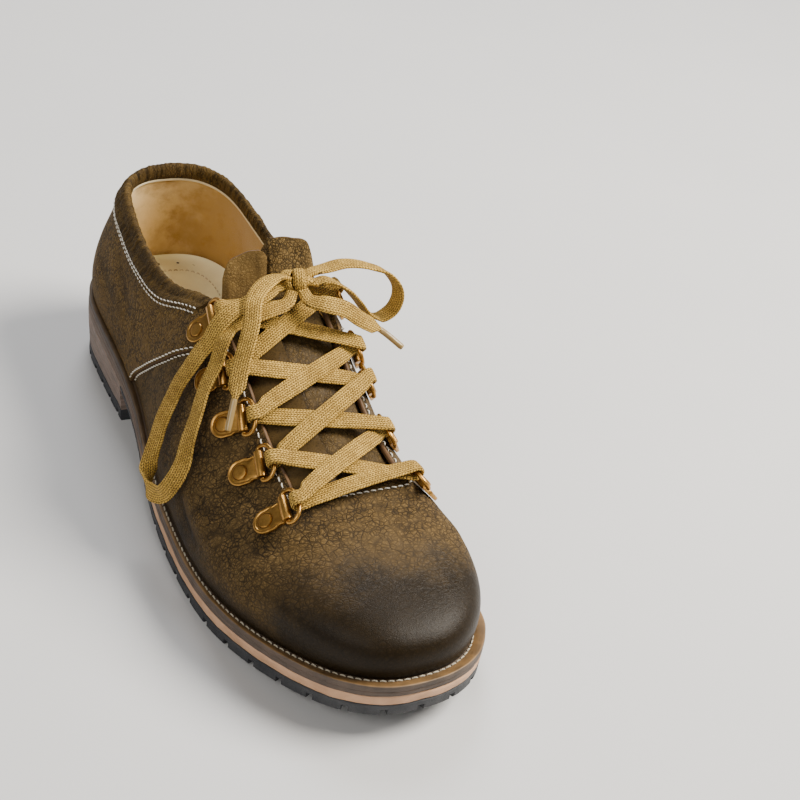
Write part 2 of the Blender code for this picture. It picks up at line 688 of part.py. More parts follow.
def make_plate(name, top, bottom, material):
    """Layer of the sole between two surfaces of rows, arrays [row, lateral or medial, xyz]."""
    piece = add_sections(name, np.concatenate([top, bottom[:, ::-1]], axis=1), material)
    shape = bmesh.new()
    shape.from_mesh(piece.data)
    bmesh.ops.remove_doubles(shape, verts=shape.verts, dist=WELD * MM)
    bmesh.ops.recalc_face_normals(shape, faces=shape.faces)
    shape.to_mesh(piece.data)
    shape.free()
    return piece


def layer_depth(layer):
    """Depth of a sole layer's top below the welt's upper face, 0 being the welt."""
    return sum(SOLE_LAYERS[:layer]) + GAP * layer


def make_welt(leather):
    """Strip of leather round the shoe, on which the upper stands."""
    turn = even_turns(0, 1, PERIMETER_STEPS + 1)[:-1]
    outer = sole_outline(turn)
    inner = feather_line(turn) - outward(turn) * WELT_INSIDE
    loops = []
    for plan, drop in ((outer, 0), (outer, WELT_THICK), (inner, WELT_THICK), (inner, 0)):
        loops.append(np.column_stack([plan, sole_height(plan[:, 1]) - drop]))
    add_sections("welt", np.stack(loops, axis=1), leather, closed=True)


def make_insole(leather):
    """Insole inside the welt, on the midsole."""
    turn = even_turns(0, 1, PERIMETER_STEPS + 1)[:-1]
    edge = feather_line(turn) - outward(turn) * (WELT_INSIDE + GAP)
    lateral = np.arange(PERIMETER_STEPS // 2 + 1)
    plan = np.stack([edge[lateral], edge[-lateral]], axis=1)
    low = sole_heights(plan) - WELT_THICK
    make_plate("insole", at_height(plan, low + INSOLE_THICK), at_height(plan, low), leather)


def notch_cutter(name, spots, floor):
    """Blocks that cut the gaps between lugs.

    spots are (point, outward direction) in plan, and floor gives the underside's height at a place y.
    """
    points, faces = [], []
    for point, out in spots:
        side = np.array([-out[1], out[0]])
        corner = len(points)
        for z in (-NOTCH_OVER, NOTCH_HEIGHT):
            for reach, across in ((NOTCH_OVER, -1), (NOTCH_OVER, 1), (-NOTCH_DEPTH, 1), (-NOTCH_DEPTH, -1)):
                plan = point + out * reach + side * across * NOTCH_WIDTH / 2
                points.append((*plan, floor(plan[1]) + z))
        a, b, c, d, e, f, g, h = range(corner, corner + 8)
        faces += [(a, d, c, b), (e, f, g, h), (a, b, f, e), (b, c, g, f), (c, d, h, g), (d, a, e, h)]
    cutter = add_mesh(name, points, faces, finish("cutter", (0.5, 0.5, 0.5), 0.5))
    cutter.hide_render = True
    cutter.display_type = "WIRE"
    return cutter


def cut(piece, cutter):
    """Takes a cutter out of a piece."""
    modifier = piece.modifiers.new(cutter.name, "BOOLEAN")
    modifier.operation = "DIFFERENCE"
    modifier.solver = "EXACT"
    modifier.object = cutter


def rubber_thickness(y):
    """Thickness of the outsole: thin in the waist, full under the forefoot."""
    along = (HEEL_END - np.asarray(y, float)) / FEATHER_LENGTH
    rise = np.clip((along - WAIST_END[0]) / (WAIST_END[1] - WAIST_END[0]), 0, 1)
    return WAIST_RUBBER_THICK + (OUTSOLE_THICK - WAIST_RUBBER_THICK) * rise * rise * (3 - 2 * rise)


def outsole_floor(y):
    """Height of the outsole's underside above the floor."""
    top = sole_height(np.atleast_1d(y)) - layer_depth(3)
    return float(np.maximum(top - rubber_thickness(np.atleast_1d(y)), 0)[0])


def lug_spots(first, last, pitch):
    """Places of the notches round the sole's edge, at an even pitch between two turns."""
    turn = np.linspace(first, last, FINE)
    edge = sole_outline(turn)
    run = np.concatenate([[0], np.cumsum(np.linalg.norm(np.diff(edge, axis=0), axis=1))])
    count = int(run[-1] // pitch)
    at = np.interp((run[-1] - count * pitch) / 2 + pitch * np.arange(count + 1), run, turn)
    return list(zip(sole_outline(at), outward(at)))


def make_sole(brown, tan, rubber):
    """Midsoles and outsole."""
    full = strip_outline(0, 1)
    for layer, name, material in ((1, "midsole", brown), (2, "tan_midsole", tan)):
        top = sole_heights(full) - layer_depth(layer)
        make_plate(name, at_height(full, top), at_height(full, top - SOLE_LAYERS[layer]), material)
    fore = strip_outline(HEEL_BREAST + BREAST_GAP, 1)
    top = sole_heights(fore) - layer_depth(3)
    floor = np.maximum(top - rubber_thickness(fore[:, :, 1]), 0)
    outsole = make_plate("outsole", at_height(fore, top), at_height(fore, floor), rubber)
    first = float(turn_at(LUG_START, -1))
    cut(outsole, notch_cutter("outsole_notches", lug_spots(first, 1 - first, LUG_PITCH), outsole_floor))


def make_heel(stack, rubber):
    """Stacked leather lifts on a rubber top piece."""

    def level(part):
        plan = strip_outline(0, HEEL_BREAST, HEEL_TAPER * (1 - part))
        roof = sole_heights(plan) - layer_depth(3)
        return plan, TOP_PIECE_THICK + (roof - TOP_PIECE_THICK) * part

    for lift in range(LIFT_COUNT):
        (low, low_z), (high, high_z) = level(lift / LIFT_COUNT), level((lift + 1) / LIFT_COUNT)
        make_plate(f"heel_lift_{lift + 1}", at_height(high, high_z), at_height(low, low_z + GAP), stack)
    plan = strip_outline(0, HEEL_BREAST, HEEL_TAPER)
    piece = make_plate("heel_top_piece", at_height(plan, TOP_PIECE_THICK), at_height(plan, 0), rubber)
    last = float(turn_at(HEEL_LUG_END, -1))
    cut(piece, notch_cutter("heel_notches", lug_spots(-last, last, HEEL_LUG_PITCH), lambda y: 0.0))


def plate_mesh():
    """Mesh of a lacing plate: round riveted end, and the other end rolled into a barrel.

    x runs across it, y from the rivet to the barrel, z away from the leather.
    """
    half, thick, r = PLATE_HALF, PLATE_THICK, BARREL_RADIUS
    meet = BARREL_REACH - math.sqrt(r * r - (r - thick) ** 2)
    round_end = np.linspace(math.pi, 2 * math.pi, PLATE_ROUND)
    low = [(half * math.cos(a), half * math.sin(a), 0.0) for a in round_end]
    high = [(x, y, thick) for x, y, _ in low]
    end = math.pi + math.asin((r - thick) / r)
    roll = np.linspace(-math.pi / 2, end, BARREL_ROUND)
    barrel = [(BARREL_REACH + r * math.cos(a), r + r * math.sin(a)) for a in roll]
    barrel[-1] = (meet, thick)
    points = low + high
    left = list(range(len(points), len(points) + len(barrel)))
    points += [(-half, y, z) for y, z in barrel]
    right = list(range(len(points), len(points) + len(barrel)))
    points += [(half, y, z) for y, z in barrel]
    n = len(low)
    faces = [(i, i + 1, n + i + 1, n + i) for i in range(n - 1)]
    faces.append((*range(n), right[0], left[0]))
    faces.append((0, left[0], *left[1:], n))
    faces.append((n - 1, *right, 2 * n - 1))
    faces += [(left[i], left[i + 1], right[i + 1], right[i]) for i in range(len(barrel) - 1)]
    rim = 2 * math.pi * np.arange(RIVET_AROUND) / RIVET_AROUND
    rings = []
    for step in RIVET_STEPS:
        rings.append(list(range(len(points), len(points) + RIVET_AROUND)))
        radius, z = RIVET_RADIUS * step.radius, thick + RIVET_HEIGHT * step.height
        points += [(radius * math.cos(a), radius * math.sin(a), z) for a in rim]
    for here, there in zip(rings, rings[1:]):
        faces += [(here[i - 1], here[i], there[i], there[i - 1]) for i in range(RIVET_AROUND)]
    faces.append(tuple(rings[-1]))
    mesh = bpy.data.meshes.new("lacing_plate")
    mesh.from_pydata([tuple(np.array(p) * MM) for p in points], [], faces)
    shape = bmesh.new()
    shape.from_mesh(mesh)
    open_edges = [e for e in shape.edges if len(e.link_faces) == 1]
    bmesh.ops.triangle_fill(shape, edges=open_edges, use_beauty=True)
    bmesh.ops.recalc_face_normals(shape, faces=shape.faces)
    shape.to_mesh(mesh)
    shape.free()
    return mesh


def wire_sections(path, up, radius, around):
    """Sections of a round wire along a path that lies in the plane square to up."""
    ahead = np.gradient(path, axis=0)
    ahead /= np.linalg.norm(ahead, axis=1)[:, None]
    side = np.cross(ahead, up)
    angle = 2 * np.pi * np.arange(around) / around
    return (
        path[:, None]
        + radius * np.cos(angle)[None, :, None] * side[:, None]
        + radius * np.sin(angle)[None, :, None] * np.asarray(up)[None, None]
    )


def ring_path():
    """Middle line of a D-ring in its plate's own frame, and the direction square to its plane."""
    half = np.array([tuple(b) for b in RING_BENDS])
    flat = np.concatenate([half * (-1, 1), half[-2::-1]])
    tilt = math.radians(RING_TILT)
    path = np.column_stack(
        [flat[:, 0], BARREL_REACH + flat[:, 1] * math.cos(tilt), BARREL_RADIUS + flat[:, 1] * math.sin(tilt)]
    )
    return path, np.array([0.0, -math.sin(tilt), math.cos(tilt)])


def ring_mesh():
    """Mesh of a D-ring in its plate's own frame."""
    path, up = ring_path()
    sections = wire_sections(path, up, WIRE_RADIUS, WIRE_AROUND)
    mesh = bpy.data.meshes.new("d_ring")
    points = sections.reshape(-1, 3) * MM
    mesh.from_pydata([tuple(p) for p in points], [], tube_faces(len(sections), WIRE_AROUND, False))
    shape = bmesh.new()
    shape.from_mesh(mesh)
    bmesh.ops.recalc_face_normals(shape, faces=shape.faces)
    shape.to_mesh(mesh)
    shape.free()
    return mesh


def hook_frame(hook, side):
    """Origin and axes of a lacing plate on the wall: across, towards the throat, outward."""
    turn = np.atleast_1d(turn_at(hook.lateral if side < 0 else hook.medial, side))
    origin = upper_offset(turn, [hook.share], PLATE_CLEAR + hook.raise_by)[0, 0]
    out = surface_normals(turn, [hook.share])[0, 0]
    inward = np.array([-side, -PLATE_TILT, 0.0])
    inward -= out * np.dot(inward, out)
    inward /= np.linalg.norm(inward)
    return origin, np.array([np.cross(inward, out), inward, out])


def make_hardware(brass):
    """Five riveted plates with D-rings on each side of the throat."""
    plate, ring = plate_mesh(), ring_mesh()
    for side, word in ((-1, "lateral"), (1, "medial")):
        for number, hook in enumerate(HOOKS, start=1):
            origin, axes = hook_frame(hook, side)
            place = Matrix(axes.T.tolist()).to_4x4()
            place.translation = Vector(origin * MM)
            for kind, mesh in (("lacing_plate", plate), ("d_ring", ring)):
                piece = add_piece(f"{kind}_{word}_{number}", mesh, brass)
                piece.matrix_world = place


def ring_hold(strand):
    """Middle of a D-ring's free side, the way on from its plate, and the way up square to the ring."""
    origin, axes = hook_frame(HOOKS[strand.number - 1], strand.side)
    path, up = ring_path()
    tilt = math.radians(RING_TILT)
    ahead = np.array([0.0, math.cos(tilt), math.sin(tilt)])
    return origin + path[len(path) // 2] @ axes, ahead @ axes, up @ axes


def ribbon_sides(path, faces):
    """Directions across a flat band along a path, its flat side facing the given way."""
    steps = np.diff(path, axis=0)
    steps /= np.linalg.norm(steps, axis=1)[:, None]
    ahead = np.concatenate([steps[:1], steps[1:] + steps[:-1], steps[-1:]])
    side = np.cross(ahead, faces)
    return side / np.linalg.norm(side, axis=1)[:, None]


def ribbon_sections(path, faces, sides, half):
    """Sections of a flat band along a path: the way its flat side faces, its directions across, its half width."""
    up = faces - sides * np.sum(faces * sides, axis=1)[:, None]
    up *= LACE_THICK / 2 / np.linalg.norm(up, axis=1)[:, None]
    side = sides * np.broadcast_to(half, len(path))[:, None]
    return np.stack([path - side - up, path + side - up, path + side + up, path - side + up], axis=1)


def make_crossings(weave):
    """Lace from the knot through all rings and back: over each wire and out below it."""
    start, stop = (np.array(end) for end in LACE_ENDS)
    full, narrow = LACE_WIDTH / 2, LACE_WIDTH / 2 * LACE_GATHER
    up = np.array([0.0, 0.0, 1.0])
    path, faces, half, held = [start], [up], [narrow], {}
    leave, sign, raised, arch = start, 1.0, 0, 0.0
    for strand in LACE_ROUTE:
        middle, ahead, square = ring_hold(strand)
        turns = [math.radians(degrees) for degrees in LACE_TURNS]
        wrap = [math.cos(turn) * square - math.sin(turn) * ahead for turn in turns]
        ring_up, arrive = wrap[0], middle + wrap[0] * LACE_WRAP
        for share in LACE_SPAN:
            over = (1 - share) * up + share * ring_up
            bulge = 4 * share * (1 - share) * (arch + LACE_STACK * raised)
            path.append((1 - share) * leave + share * arrive + over * bulge)
            faces.append(sign * over)
            half.append(full)
        for radial in wrap:
            held[len(path)] = np.cross(square, ahead) * sign
            path.append(middle + radial * LACE_WRAP)
            faces.append(sign * radial)
            half.append(narrow)
        leave, sign, up, raised, arch = path[-1], -sign, ring_up, strand.raised, LACE_ARCH
    path += [(leave + stop) / 2, stop]
    faces += [sign * up, sign * up]
    half += [full, narrow]
    path, faces = np.array(path), np.array(faces)
    sides = ribbon_sides(path, faces)
    for place, side in held.items():
        sides[place] = side
    add_sections("lace_crossings", ribbon_sections(path, faces, sides, np.array(half)), weave)


def smooth_bends(bends, fine):
    """Smooth path through bends, with fine pieces between two of them."""
    rows = [(place, *bend) for place, bend in enumerate(bends)]
    return through(rows, np.linspace(0, len(bends) - 1, (len(bends) - 1) * fine + 1))


def make_cords(weave, tip):
    """Knot, loops, ends and tips of the bow."""
    around, rows = KNOT_ROUND
    knot = bpy.data.meshes.new("lace_knot")
    shape = bmesh.new()
    size = Matrix.Diagonal((*(np.array(KNOT_SIZE) * MM), 1.0))
    place = Matrix.Translation(Vector(KNOT) * MM)
    bmesh.ops.create_uvsphere(shape, u_segments=around, v_segments=rows, radius=1.0, matrix=place @ size)
    shape.to_mesh(knot)
    shape.free()
    add_piece("lace_knot", knot, weave)
    hung = [upper_offset(np.atleast_1d(turn_at(h.along, -1)), [h.share], h.off)[0, 0] for h in LOOP_HANG]
    loop = Cord(name="lace_loop_lateral", bends=(*LOOP_FROM_KNOT, *hung, *LOOP_TO_KNOT), faces=LOOP_FACES)
    for cord in (loop, *CORDS):
        path = smooth_bends(cord.bends, CORD_FINE)
        faces = np.broadcast_to(np.array(cord.faces), path.shape)
        sections = ribbon_sections(path, faces, ribbon_sides(path, faces), LACE_WIDTH / 2)
        add_sections(cord.name, sections, weave)
    path = smooth_bends(LOOP_MEDIAL, CORD_FINE)
    faces = np.cross(np.array(LOOP_MEDIAL_AXIS), np.gradient(path, axis=0))
    sections = ribbon_sections(path, faces, ribbon_sides(path, faces), LACE_WIDTH / 2)
    add_sections("lace_loop_medial", sections, weave)
    tips = (("aglet_lateral", END_LATERAL[-1], TIP_LATERAL), ("aglet_medial", END_MEDIAL[-1], TIP_MEDIAL))
    for name, last, tip_end in tips:
        path = np.array([tuple(last), tuple(tip_end)], dtype=float)
        run = (path[1] - path[0]) / np.linalg.norm(path[1] - path[0])
        path[0] += run * AGLET_GAP
        side = np.cross(run, (0.0, 0.0, 1.0))
        up = np.cross(side / np.linalg.norm(side), run)
        add_sections(name, wire_sections(path, up, AGLET_RADIUS, AGLET_AROUND), tip)


def main():
    """Makes every piece and moves the shoe's middle to the origin."""
    for piece in list(bpy.data.objects):
        bpy.data.objects.remove(piece)
    leather = finish("upper_leather", (0.13, 0.09, 0.04), 0.55)
    lining = finish("insole_leather", (0.55, 0.45, 0.3), 0.5)
    brown = finish("midsole_leather", (0.10, 0.07, 0.05), 0.6)
    tan = finish("tan_leather", (0.55, 0.33, 0.2), 0.55)
    stack = finish("stacked_leather", (0.12, 0.09, 0.07), 0.6)
    rubber = finish("rubber", (0.015, 0.016, 0.02), 0.5)
    brass = finish("brass", (0.45, 0.22, 0.06), 0.35, 1.0)
    make_upper(leather)
    make_rear_quarter(leather)
    make_collar_band(leather)
    make_tongue(leather)
    make_insole(lining)
    make_welt(brown)
    make_sole(brown, tan, rubber)
    make_heel(stack, rubber)
    make_hardware(brass)
    weave = finish("lace_weave", (0.36, 0.26, 0.1), 0.85)
    make_crossings(weave)
    make_cords(weave, finish("aglet_plastic", (0.5, 0.36, 0.16), 0.4))
    shift = Matrix.Translation(Vector((-PLAN_MIDDLE[0], -PLAN_MIDDLE[1], 0.0)) * MM)
    for piece in bpy.data.objects:
        piece.matrix_world = shift @ piece.matrix_world


main()
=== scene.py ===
"""Looks of a laced haferl shoe for the right foot.

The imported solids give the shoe's frame. This script makes each of them again as a finer mesh on the
same sizes, adds creases, stitching and a tied lace, and dresses every surface. The toe points to -Y,
the heel to +Y and the inner side of the foot to +X. Sizes are in millimetres and meshes in metres.
"""

from __future__ import annotations

import logging
import math
from dataclasses import dataclass, field
from enum import Enum
from typing import Callable, NamedTuple, Sequence

import bmesh
import bpy
import numpy as np
from mathutils import Matrix, Vector

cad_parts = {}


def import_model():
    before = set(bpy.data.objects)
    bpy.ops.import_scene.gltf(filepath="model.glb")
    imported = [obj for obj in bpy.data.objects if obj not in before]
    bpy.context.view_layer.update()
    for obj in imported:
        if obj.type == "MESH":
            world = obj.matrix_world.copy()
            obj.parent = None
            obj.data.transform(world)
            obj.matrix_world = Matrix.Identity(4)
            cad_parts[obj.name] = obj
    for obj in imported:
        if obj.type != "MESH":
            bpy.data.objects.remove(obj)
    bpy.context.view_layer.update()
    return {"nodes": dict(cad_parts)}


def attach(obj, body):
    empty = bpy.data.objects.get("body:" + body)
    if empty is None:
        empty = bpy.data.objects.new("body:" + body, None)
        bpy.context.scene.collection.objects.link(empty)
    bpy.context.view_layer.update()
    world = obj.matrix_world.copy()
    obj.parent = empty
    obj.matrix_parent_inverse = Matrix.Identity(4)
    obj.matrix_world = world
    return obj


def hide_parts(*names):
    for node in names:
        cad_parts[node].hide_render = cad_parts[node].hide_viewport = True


LOG = logging.getLogger("shoe")
Array = np.ndarray
Piece = bpy.types.Object
Node = bpy.types.Node
Socket = bpy.types.NodeSocket
Pair = tuple[float, float]
Point = tuple[float, float, float]
Colour = tuple[float, float, float]
Table = tuple[tuple[float, ...], ...]
Level = Callable[[Array], Array]
MM = 0.001
BODY = "root"
UP: Point = (0.0, 0.0, 1.0)
PLAN_SHIFT = (0.905, -0.269, 0.0)  # from the tables' frame to the solids' frame
UV_NAME = "surface_mm"


class Side(Enum):
    """The two sides of the shoe, by the sign of x."""

    LATERAL = -1
    MEDIAL = 1

    @property
    def word(self) -> str:
        """Name of the side as it stands in node names."""
        return self.name.lower()


# Form of the shoe


# Feather line: place along the shoe, half widths of the lateral and medial side, shift of the
# middle, and how far the welt stands out on each side
FEATHER: Table = (
    (0.00, 38.5, 34.5, -2.0, 4.0, 4.0),
    (0.18, 40.0, 34.0, -2.0, 4.0, 4.0),
    (0.36, 42.0, 30.0, -1.5, 3.4, 4.0),
    (0.50, 48.5, 31.0, -1.0, 2.8, 4.6),
    (0.64, 51.5, 39.0, 0.0, 2.8, 5.6),
    (0.76, 51.5, 43.5, 1.0, 3.0, 6.2),
    (0.90, 47.0, 46.5, 2.5, 3.8, 6.2),
    (1.00, 45.0, 45.5, 3.5, 5.0, 5.0),
)
# Sole: place along the shoe and height of the welt's upper face above the floor
SOLE_LINE: Table = (
    (-0.05, 34.8), (0.00, 34.6), (0.14, 33.5), (0.27, 30.9), (0.42, 23.3), (0.54, 17.1),
    (0.62, 15.2), (0.74, 15.2), (0.84, 17.3), (0.93, 21.7), (1.00, 26.5), (1.05, 30.7),
)
# Wall profiles from the feather line up to the opening: place along the shoe, place of the
# opening's edge, its middle, half width and height, lean and rise of the foot, slope and reach of the top
WALLS: Table = (
    (0.00, 0.012, -2.0, 28.5, 85.0, 17, 20, 82, 22),
    (0.10, 0.100, -2.0, 29.6, 81.8, 13, 19, 80, 20),
    (0.24, 0.235, -2.0, 32.0, 78.0, 8, 18, 78, 18),
    (0.34, 0.335, -2.0, 31.0, 79.6, 4, 20, 66, 18),
    (0.43, 0.425, -2.0, 26.0, 89.0, 3, 26, 52, 22),
    (0.47, 0.465, -1.8, 24.0, 92.0, 3, 28, 46, 24),
    (0.56, 0.560, -1.0, 22.8, 83.5, 5, 30, 44, 24),
    (0.65, 0.660, 0.5, 23.2, 69.4, 8, 28, 46, 26),
    (0.74, 0.728, 2.2, 24.0, 63.4, 12, 26, 46, 30),
    (0.88, 0.758, 2.2, 27.5, 61.8, 15, 26, 36, 38),
    (1.00, 0.762, 2.2, 26.5, 62.2, 14, 28, 27, 46),
)


def through(rows: Sequence[Sequence[float]], at: Array | float) -> Array:
    """Smooth curve through a table's rows, the first column being the knots.

    Args:
        rows: the table.
        at: where the curve is read.

    Returns:
        One column of values for each further column of the table.
    """
    table = np.array(rows, float)
    knots, values = table[:, 0], table[:, 1:]
    slopes = np.gradient(values, knots, axis=0)
    at = np.atleast_1d(np.asarray(at, float))
    low = np.clip(np.searchsorted(knots, at, side="right") - 1, 0, len(knots) - 2)
    span = (knots[low + 1] - knots[low])[:, None]
    s = (at[:, None] - knots[low][:, None]) / span
    return (
        (1 + 2 * s) * (1 - s) ** 2 * values[low]
        + s * (1 - s) ** 2 * span * slopes[low]
        + s * s * (3 - 2 * s) * values[low + 1]
        + s * s * (s - 1) * span * slopes[low + 1]
    )


def unit(vectors: Array) -> Array:
    """Vectors at length one, along the last axis."""
    return vectors / np.linalg.norm(vectors, axis=-1, keepdims=True)


def ease(low: float, high: float, at: Array) -> Array:
    """Smooth step from 0 at low to 1 at high."""
    s = np.clip((np.asarray(at, float) - low) / (high - low), 0, 1)
    return s * s * (3 - 2 * s)


def lattice_noise(points: Array, size: float, seed: int) -> Array:
    """Smooth noise from -1 to 1.

    Args:
        points: places, in millimetres, along the last axis.
        size: width of one lump.
        seed: which of the possible noises.

    Returns:
        One value for each place.
    """
    cells = 24
    table = np.random.default_rng(seed).uniform(-1, 1, (cells, cells, cells))
    place = np.asarray(points, float) / size + seed * 1.37
    low = np.floor(place).astype(int)
    part = place - low
    part = part * part * (3 - 2 * part)
    total = np.zeros(place.shape[:-1])
    for corner in np.ndindex(2, 2, 2):
        index = (low + corner) % cells
        weight = np.prod(np.where(np.array(corner) == 1, part, 1 - part), axis=-1)
        total += weight * table[index[..., 0], index[..., 1], index[..., 2]]
    return total


@dataclass(frozen=True)
class Last:
    """Form that the shoe is built on.

    A place on the wall is a turn round the shoe, from the heel's back (0) by the lateral side and the
    toe (0.5) to the heel again (1), and a share of the wall, from the welt (0) to the opening (1).
    """

    heel_end: float = 148.0
    length: float = 295.0
    gap: float = 0.3
    fan_spread: float = 20.0
    wall: float = 2.2
    heel_round: Pair = (0.14, 2.5)
    toe_round_lateral: Pair = (0.36, 2.3)
    toe_round_medial: Pair = (0.25, 2.5)
    nudge: float = 0.002

    def turn_at(self, along: Array | float, side: int = -1) -> Array:
        """Turn of a place along the shoe, 0 being the heel and 1 the toe, on one side."""
        turn = np.arccos(1 - 2 * np.asarray(along, float)) / (2 * np.pi)
        return turn if side < 0 else 1 - turn

    def place_at(self, turn: Array) -> tuple[Array, Array]:
        """Place along the shoe and sign of the side at a turn."""
        turn = np.mod(np.asarray(turn, float), 1.0)
        return (1 - np.cos(2 * np.pi * turn)) / 2, np.where(turn <= 0.5, -1.0, 1.0)

    def end_rounding(self, along: Array, side: Array) -> Array:
        """Share of the half width that the rounding of heel and toe leaves."""

        def rounded(distance: Array, reach: float, square: float) -> Array:
            """Share of the width near one rounded end."""
            inside = np.clip(1 - distance / reach, 0, 1)
            return (1 - inside**square) ** (1 / square)

        toe_lateral = rounded(1 - along, *self.toe_round_lateral)
        toe_medial = rounded(1 - along, *self.toe_round_medial)
        return rounded(along, *self.heel_round) * np.where(side < 0, toe_lateral, toe_medial)

    def sole_height(self, y: Array) -> Array:
        """Height of the welt's upper face at a place y."""
        y = np.asarray(y, float)
        return through(SOLE_LINE, ((self.heel_end - y) / self.length).ravel())[:, 0].reshape(y.shape)

    def feather_line(self, turn: Array) -> Array:
        """Feather line in plan."""
        along, side = self.place_at(turn)
        lateral, medial, shift = through(FEATHER, along).T[:3]
        half = np.where(side < 0, lateral, medial) * self.end_rounding(along, side)
        return np.stack([shift + side * half, self.heel_end - along * self.length], axis=1)

    def outward(self, turn: Array) -> Array:
        """Outward normals of the feather line in plan."""
        ahead = unit(self.feather_line(turn + self.nudge) - self.feather_line(turn - self.nudge))
        return np.stack([ahead[:, 1], -ahead[:, 0]], axis=1)

    def sole_outline(self, turn: Array, inset: Array | float = 0.0) -> Array:
        """Edge of the sole in plan, taken in by inset."""
        along, side = self.place_at(turn)
        welt_lateral, welt_medial = through(FEATHER, along).T[3:]
        margin = np.where(side < 0, welt_lateral, welt_medial) - inset
        return self.feather_line(turn) + self.outward(turn) * margin[:, None]

    def skin(self, turn: Array | float, share: Array | float) -> Array:
        """Points of the wall's outer face."""
        turn, share = np.broadcast_arrays(np.asarray(turn, float), np.asarray(share, float))
        shape, turn, s = turn.shape, turn.ravel(), share.ravel()[:, None]
        along, side = self.place_at(turn)
        feather, out = self.feather_line(turn), np.pad(self.outward(turn), ((0, 0), (0, 1)))
        edge, middle, half, height, lean, rise, slope, reach = through(WALLS, along).T
        base = np.column_stack([feather, self.sole_height(feather[:, 1]) + self.gap])
        across = middle + side * half * self.end_rounding(along, side)
        top = np.column_stack([across, self.heel_end - edge * self.length, height])
        lean, slope = np.radians(lean)[:, None], np.radians(slope)[:, None]
        fan = unit((base - top) * (1.0, 1.0, 0.0) + out * self.fan_spread)
        up = np.array([[0.0, 0.0, 1.0]])
        low_pull = base + rise[:, None] * (out * np.sin(lean) + up * np.cos(lean))
        high_pull = top + reach[:, None] * (fan * np.cos(slope) - up * np.sin(slope))
        points = (
            (1 - s) ** 3 * base
            + 3 * s * (1 - s) ** 2 * low_pull
            + 3 * s * s * (1 - s) * high_pull
            + s**3 * top
        )
        return points.reshape(*shape, 3)

    def normal(self, turn: Array | float, share: Array | float) -> Array:
        """Outward normals of the wall."""
        turn, share = np.asarray(turn, float), np.asarray(share, float)
        across = self.skin(turn + self.nudge, share) - self.skin(turn - self.nudge, share)
        up = self.skin(turn, share + self.nudge) - self.skin(turn, share - self.nudge)
        return unit(np.cross(across, up))

    def lifted(self, turn: Array | float, share: Array | float, lift: Array | float) -> Array:
        """Points that stand lift outside the wall's outer face."""
        return self.skin(turn, share) + self.normal(turn, share) * np.asarray(lift, float)[..., None]

    def upward(self, turn: Array | float, share: Array | float) -> Array:
        """Directions up along the wall."""
        share = np.asarray(share, float)
        return unit(self.skin(turn, share + self.nudge) - self.skin(turn, share - self.nudge))

    def girth(self, turn: Array) -> Array:
        """Length run along the feather line."""
        return run_length(self.feather_line(turn), 0)

    def even_turns(self, first: float, last: float, count: int) -> Array:
        """Turns spaced evenly along the feather line."""
        fine = np.linspace(first, last, 3000)
        run = self.girth(fine)
        return np.interp(np.linspace(0, run[-1], count), run, fine)

    def share_below(self, turn: Array, drop: Array | float) -> Array:
        """Share of the wall that lies drop below the opening's edge, measured along the wall."""
        rows = np.linspace(0, 1, 81)
        run = run_length(self.skin(np.asarray(turn, float)[:, None], rows[None]), 1)
        wanted = run[:, -1] - drop
        return np.array([np.interp(w, line, rows) for w, line in zip(wanted, run)])


LAST = Last()


# Meshes


def to_frame(points: Array) -> Array:
    """Points of the tables, in millimetres, as metres in the solids' frame."""
    return (np.asarray(points, float) + PLAN_SHIFT) * MM


def grid_faces(rows: int, columns: int, ring_rows: bool = False, ring_columns: bool = False) -> Array:
    """Quads of a grid of points whose rows and columns may close into rings."""
    i = np.arange(rows if ring_rows else rows - 1)
    j = np.arange(columns if ring_columns else columns - 1)
    i, j = (a.ravel() for a in np.meshgrid(i, j, indexing="ij"))
    up, on = (i + 1) % rows, (j + 1) % columns
    return np.stack([i * columns + j, up * columns + j, up * columns + on, i * columns + on], axis=1)


def tube_faces(rows: int, columns: int) -> list[tuple[int, ...]]:
    """Faces of a grid whose rows close into rings, with a face at each end."""
    ends = [tuple(end * columns + j for j in range(columns)) for end in (0, rows - 1)]
    return grid_faces(rows, columns, ring_columns=True).tolist() + ends


def unrolled(across: Array | float, along: Array | float) -> Array:
    """Places on the unrolled surface from two grids, or from a row and a column."""
    return np.stack(np.broadcast_arrays(across, along), axis=-1)


